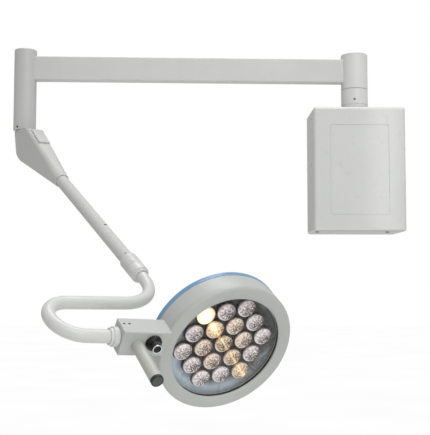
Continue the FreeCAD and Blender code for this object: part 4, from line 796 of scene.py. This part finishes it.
turned("handle_grip_body", HANDLE, "lamp_head", "handle_paint", "handle_grip", [
    (0, -8.0), (4.98, -8.0), (4.98, 0), (HANDLE_R, 0), (HANDLE_R, HANDLE_END),
    (9.0, HANDLE_END), (9.0, 89.0), (0, 89.0),
], radius=0.5, seg=72)


def handle_cap():
    """Plug in the end of the handle, with a lighter end face inside a dark band."""
    bm = bmesh.new()
    lathe(bm, [
        (0, 89.1), (8.95, 89.1), (8.95, HANDLE_END), (HANDLE_R, HANDLE_END),
        (HANDLE_R, 101.6), (11.1, 102.8), (10.3, 103.4), (9.4, 103.4), (8.9, 103.0),
        (8.7, 102.4), (5.0, 102.4), (4.6, 102.15), (3.0, 102.15), (2.6, 102.4),
        (0, 102.4)], 72)
    for face in bm.faces:
        middle = face.calc_center_median() * 1000.0
        on_end = math.hypot(middle.x, middle.y) < 9.6 and middle.z > 101
        face.material_index = 0 if on_end else 1
    put("handle_end_cap", bm, HANDLE, "lamp_head", ["dark_cap", "cap_band"],
        "handle_cap", smooth=35)


handle_cap()

# ---------------------------------------------------------------------- knob
KNOB_SEG, FLUTES, FLUTE_DEPTH = 150, 15, 0.75
# r, z from the underside over the skirt and up the grip to the middle of the end face
KNOB_SKIRT = [(5.5, 2.6), (5.5, 0.4), (15.0, 0.4), (15.6, 1.4), (14.6, 6.2), (11.6, 8.2),
              (10.2, 9.2)]
KNOB_GRIP = [(10.2, 9.6), (10.15, 10.4), (10.1, 12.0), (10.05, 14.5), (10.0, 17.0),
             (9.95, 18.6), (9.9, 19.3), (9.5, 20.0), (9.0, 20.4), (7.3, 20.4), (7.1, 20.1),
             (4.0, 19.9), (0, 19.9)]
KNOB_SHAFT = [(3.0, 2.6), (3.0, -5.6), (2.6, -6.0)]
# raised pointer on the end face
POINTER_Z = (19.8, 20.5)
POINTER_XY = ((1.6, -0.5), (6.9, -0.5), (6.9, 0.5), (1.6, 0.5))
BOX_FACES = ((0, 3, 2, 1), (4, 5, 6, 7), (0, 1, 5, 4), (1, 2, 6, 5), (2, 3, 7, 6),
             (3, 0, 4, 7))


def fluted_ring(bm, r, z):
    """Ring of the knob; flutes fade in above the skirt and out at the top."""
    if r < 1e-6:
        return [bm.verts.new(mm(0, 0, z))]
    depth = 0.0
    if r > 9.5 and z > 9.5:
        depth = FLUTE_DEPTH * min(1.0, (z - 9.5) / 1.4) * min(1.0, (20.2 - z) / 1.0)
    ring = []
    for k in range(KNOB_SEG):
        a = 2 * PI * k / KNOB_SEG
        cut_r = r - depth * max(0.0, math.cos(FLUTES * a)) ** 2.0
        ring.append(bm.verts.new(mm(cut_r * math.cos(a), cut_r * math.sin(a), z)))
    return ring


def knob():
    bm = bmesh.new()
    rings = [fluted_ring(bm, r, z) for r, z in rounded(KNOB_SKIRT, 0.4) + KNOB_GRIP]
    for a, b in zip(rings, rings[1:]):
        bridge(bm, a, b)
    shaft = [circle(bm, r, z, KNOB_SEG) for r, z in KNOB_SHAFT]
    tip = bm.verts.new(mm(0, 0, KNOB_SHAFT[-1][1]))
    for k in range(KNOB_SEG):
        k2 = (k + 1) % KNOB_SEG
        for a, b in zip([rings[0]] + shaft, shaft):
            bm.faces.new((b[k], b[k2], a[k2], a[k]))
        bm.faces.new((tip, shaft[-1][k2], shaft[-1][k]))
    corners = [bm.verts.new(mm(x, y, z)) for z in POINTER_Z for x, y in POINTER_XY]
    for face in BOX_FACES:
        bm.faces.new([corners[i] for i in face])
    put("fluted_knob", bm, KNOB, "dimmer", ["black_plastic"],
        "dimmer_knob", smooth=40)


knob()


# ----------------------------------------------------------------- bent tube
def tube_path():
    """Centre line in the world: straight, quarter bend, straight, return bend, and a
    short run along block X into the flange."""
    side = FIRST_BEND_START + FIRST_BEND_R
    second = FIRST_BEND_R + MIDDLE_STRAIGHT
    path = [(TUBE_START + (FIRST_BEND_START - TUBE_START) * k / 4, 0.0) for k in range(4)]
    path += arc(FIRST_BEND_START, FIRST_BEND_R, FIRST_BEND_R, -90, 0, 30)
    path += [(side, FIRST_BEND_R + MIDDLE_STRAIGHT * k / 8) for k in range(1, 8)]
    path += arc(side + SECOND_BEND_R, second, SECOND_BEND_R, 180, 180 - SECOND_BEND_ANGLE, 48)
    end_run = [BLOCK_ORIGIN + BLOCK_X * 0.05 * k / 6 for k in range(1, 7)]
    return [BENT @ mm(x, y, 0) for x, y in path] + end_run


def bent_tube(seg=56):
    """Round tube with a wall, swept along the path without twist."""
    bm = bmesh.new()
    path = tube_path()
    last = len(path) - 1
    tangents = [(path[min(i + 1, last)] - path[max(i - 1, 0)]).normalized()
                for i in range(last + 1)]
    u = tangents[0].orthogonal().normalized()
    outer, inner = [], []
    for centre, tangent in zip(path, tangents):
        u = (u - tangent * u.dot(tangent)).normalized()
        v = tangent.cross(u)
        for rings, r in ((outer, TUBE_R / 1000), (inner, TUBE_BORE_R / 1000)):
            angles = [2 * PI * k / seg for k in range(seg)]
            rings.append([bm.verts.new(centre + (u * math.cos(a) + v * math.sin(a)) * r)
                          for a in angles])
    loop = outer + inner[::-1]
    for i, ring in enumerate(loop):
        bridge(bm, ring, loop[(i + 1) % len(loop)])
    put("s_bent_tube", bm, Matrix.Identity(4), "bent_tube", ["tube_paint"],
        "s_tube", smooth=40)


bent_tube()

# ---------------------------------------------------------------- dust strip
STRIP_X = 503.0
# section: offset along the arm, radius from the arm's axis
STRIP_SECTION = [(-2.0, 13.9), (2.0, 13.9), (2.0, 14.55), (1.6, 14.7), (-1.6, 14.7),
                 (-2.0, 14.55)]
STRIP_START, STRIP_SWEEP, STRIP_STEPS = 66.0, 72.0, 24   # degrees from LIFT Y to Z


def dust_strip():
    """Strip in the slot of the spring tube."""
    bm = bmesh.new()
    rows = []
    for k in range(STRIP_STEPS + 1):
        a = RAD(STRIP_START + STRIP_SWEEP * k / STRIP_STEPS)
        rows.append([bm.verts.new(mm(STRIP_X + dx, r * math.cos(a), r * math.sin(a)))
                     for dx, r in STRIP_SECTION])
    for a, b in zip(rows, rows[1:]):
        bridge(bm, a, b)
    bm.faces.new(rows[0])
    bm.faces.new(rows[-1][::-1])
    put("slot_dust_strip", bm, LIFT, "spring_arm", ["rubber_black"],
        smooth=35)


dust_strip()


def lens_sleeves():
    """Short sleeve round each lens on the carrier plate."""
    bm = bmesh.new()
    outline = rounded([(18.4, -12.4), (19.7, -12.4), (19.7, -7.6), (18.4, -7.6)], 0.25, 2)
    for x, y in LENSES.values():
        lathe(bm, outline, 40, x, y)
    put("lens_sleeves", bm, LAMP, "lamp_head", ["sleeve_black"], smooth=35)


lens_sleeves()


# --------------------------------------------------------------------- stage
def floor_material():
    """Near white to the camera, a pale matt surface to other rays."""
    n = material_nodes("floor")
    color = n.mix(n.drift(scale=1.5, detail=4.0), (0.80, 0.80, 0.795), (0.84, 0.84, 0.835))
    normal = n.bump(n.noise(scale=120.0, detail=3.0), strength=0.05, distance=0.002)
    surface = n.bsdf(color=color, rough=0.55, normal=normal, emit=(1.0, 1.0, 1.0),
                     emit_s=0.08)
    white = n.mix(n.drift(scale=0.8), (0.975, 0.975, 0.975), (1.0, 1.0, 1.0))
    seen = n.new("Emission", {"Color": white}).outputs[0]
    camera_ray = n.new("LightPath").outputs["Is Camera Ray"]
    return n.done(n.mix_shader(camera_ray, surface, seen))


def make_floor():
    material = floor_material()
    bm = bmesh.new()
    bmesh.ops.create_grid(bm, x_segments=2, y_segments=2, size=30.0)
    mesh = bpy.data.meshes.new("floor")
    bm.to_mesh(mesh)
    bm.free()
    mesh.materials.append(material)
    floor = bpy.data.objects.new("floor", mesh)
    floor.location = (0, 0, -1.75)
    SCENE.collection.objects.link(floor)


def make_world():
    """White to the camera, a soft vertical gradient to other rays."""
    SCENE.world = bpy.data.worlds.new("studio")
    n = Nodes(SCENE.world, "OutputWorld")
    direction = n.new("TexCoord").outputs["Generated"]
    height = n.new("SeparateXYZ", {0: direction}).outputs["Z"]
    gradient = n.ramp(n.map_range(height, band=(-1.0, 1.0)), [
        (0.0, 0.55), (0.42, 0.62), (0.52, 0.50), (0.72, 0.72), (1.0, 1.0)])
    studio = n.new("Background", {"Color": gradient, "Strength": 0.73}).outputs[0]
    white = n.new("Background", {"Color": (1, 1, 1), "Strength": 1.0}).outputs[0]
    camera_ray = n.new("LightPath").outputs["Is Camera Ray"]
    n.done(n.mix_shader(camera_ray, studio, white))


def area(name, place, width, height, power, target=(-0.45, -0.35, -0.05), color=(1, 1, 1)):
    """Rectangular area light in metres and watts, aimed at the target."""
    light = bpy.data.lights.new(name, "AREA")
    light.shape = "RECTANGLE"
    light.size, light.size_y = width, height
    light.energy = power
    light.color = color
    obj = bpy.data.objects.new(name, light)
    SCENE.collection.objects.link(obj)
    obj.location = place
    aim = Vector(target) - Vector(place)
    obj.rotation_euler = aim.to_track_quat("-Z", "Y").to_euler()


def make_camera(place, lens_mm, pitch, yaw, roll):
    """Camera looking along +Y before it is turned by the angles in degrees."""
    turn = (Matrix.Rotation(RAD(yaw), 3, "Z") @ Matrix.Rotation(RAD(pitch), 3, "X")
            @ Matrix.Rotation(RAD(roll), 3, "Y"))
    right, forward, up = turn.col[0], turn.col[1], turn.col[2]
    camera = bpy.data.cameras.new("camera")
    camera.sensor_fit = "AUTO"
    camera.sensor_width = 36.0
    camera.lens = lens_mm
    obj = bpy.data.objects.new("camera", camera)
    SCENE.collection.objects.link(obj)
    obj.matrix_world = frame_of(Vector(place), right, up, -forward)
    SCENE.camera = obj


make_floor()
make_world()
area("key", (0.7, -3.1, 1.9), width=2.2, height=1.4, power=37, color=(1.0, 0.998, 0.99))
area("fill", (0.9, -3.0, -0.8), width=1.6, height=1.2, power=9, color=(0.98, 0.99, 1.0))
area("top", (-0.2, 0.1, 2.6), width=2.2, height=1.2, power=28)
area("strip", (0.66, -3.0, 0.36), width=0.16, height=1.1, power=1.6,
     target=(0.03, -0.14, 0.0))
SCENE.view_settings.view_transform = "Standard"
SCENE.view_settings.look = "None"
SCENE.view_settings.exposure = 0.0
make_camera((-0.41107, -2.43083, -0.2987), lens_mm=74.48, pitch=4.31, yaw=-0.98, roll=-0.05)
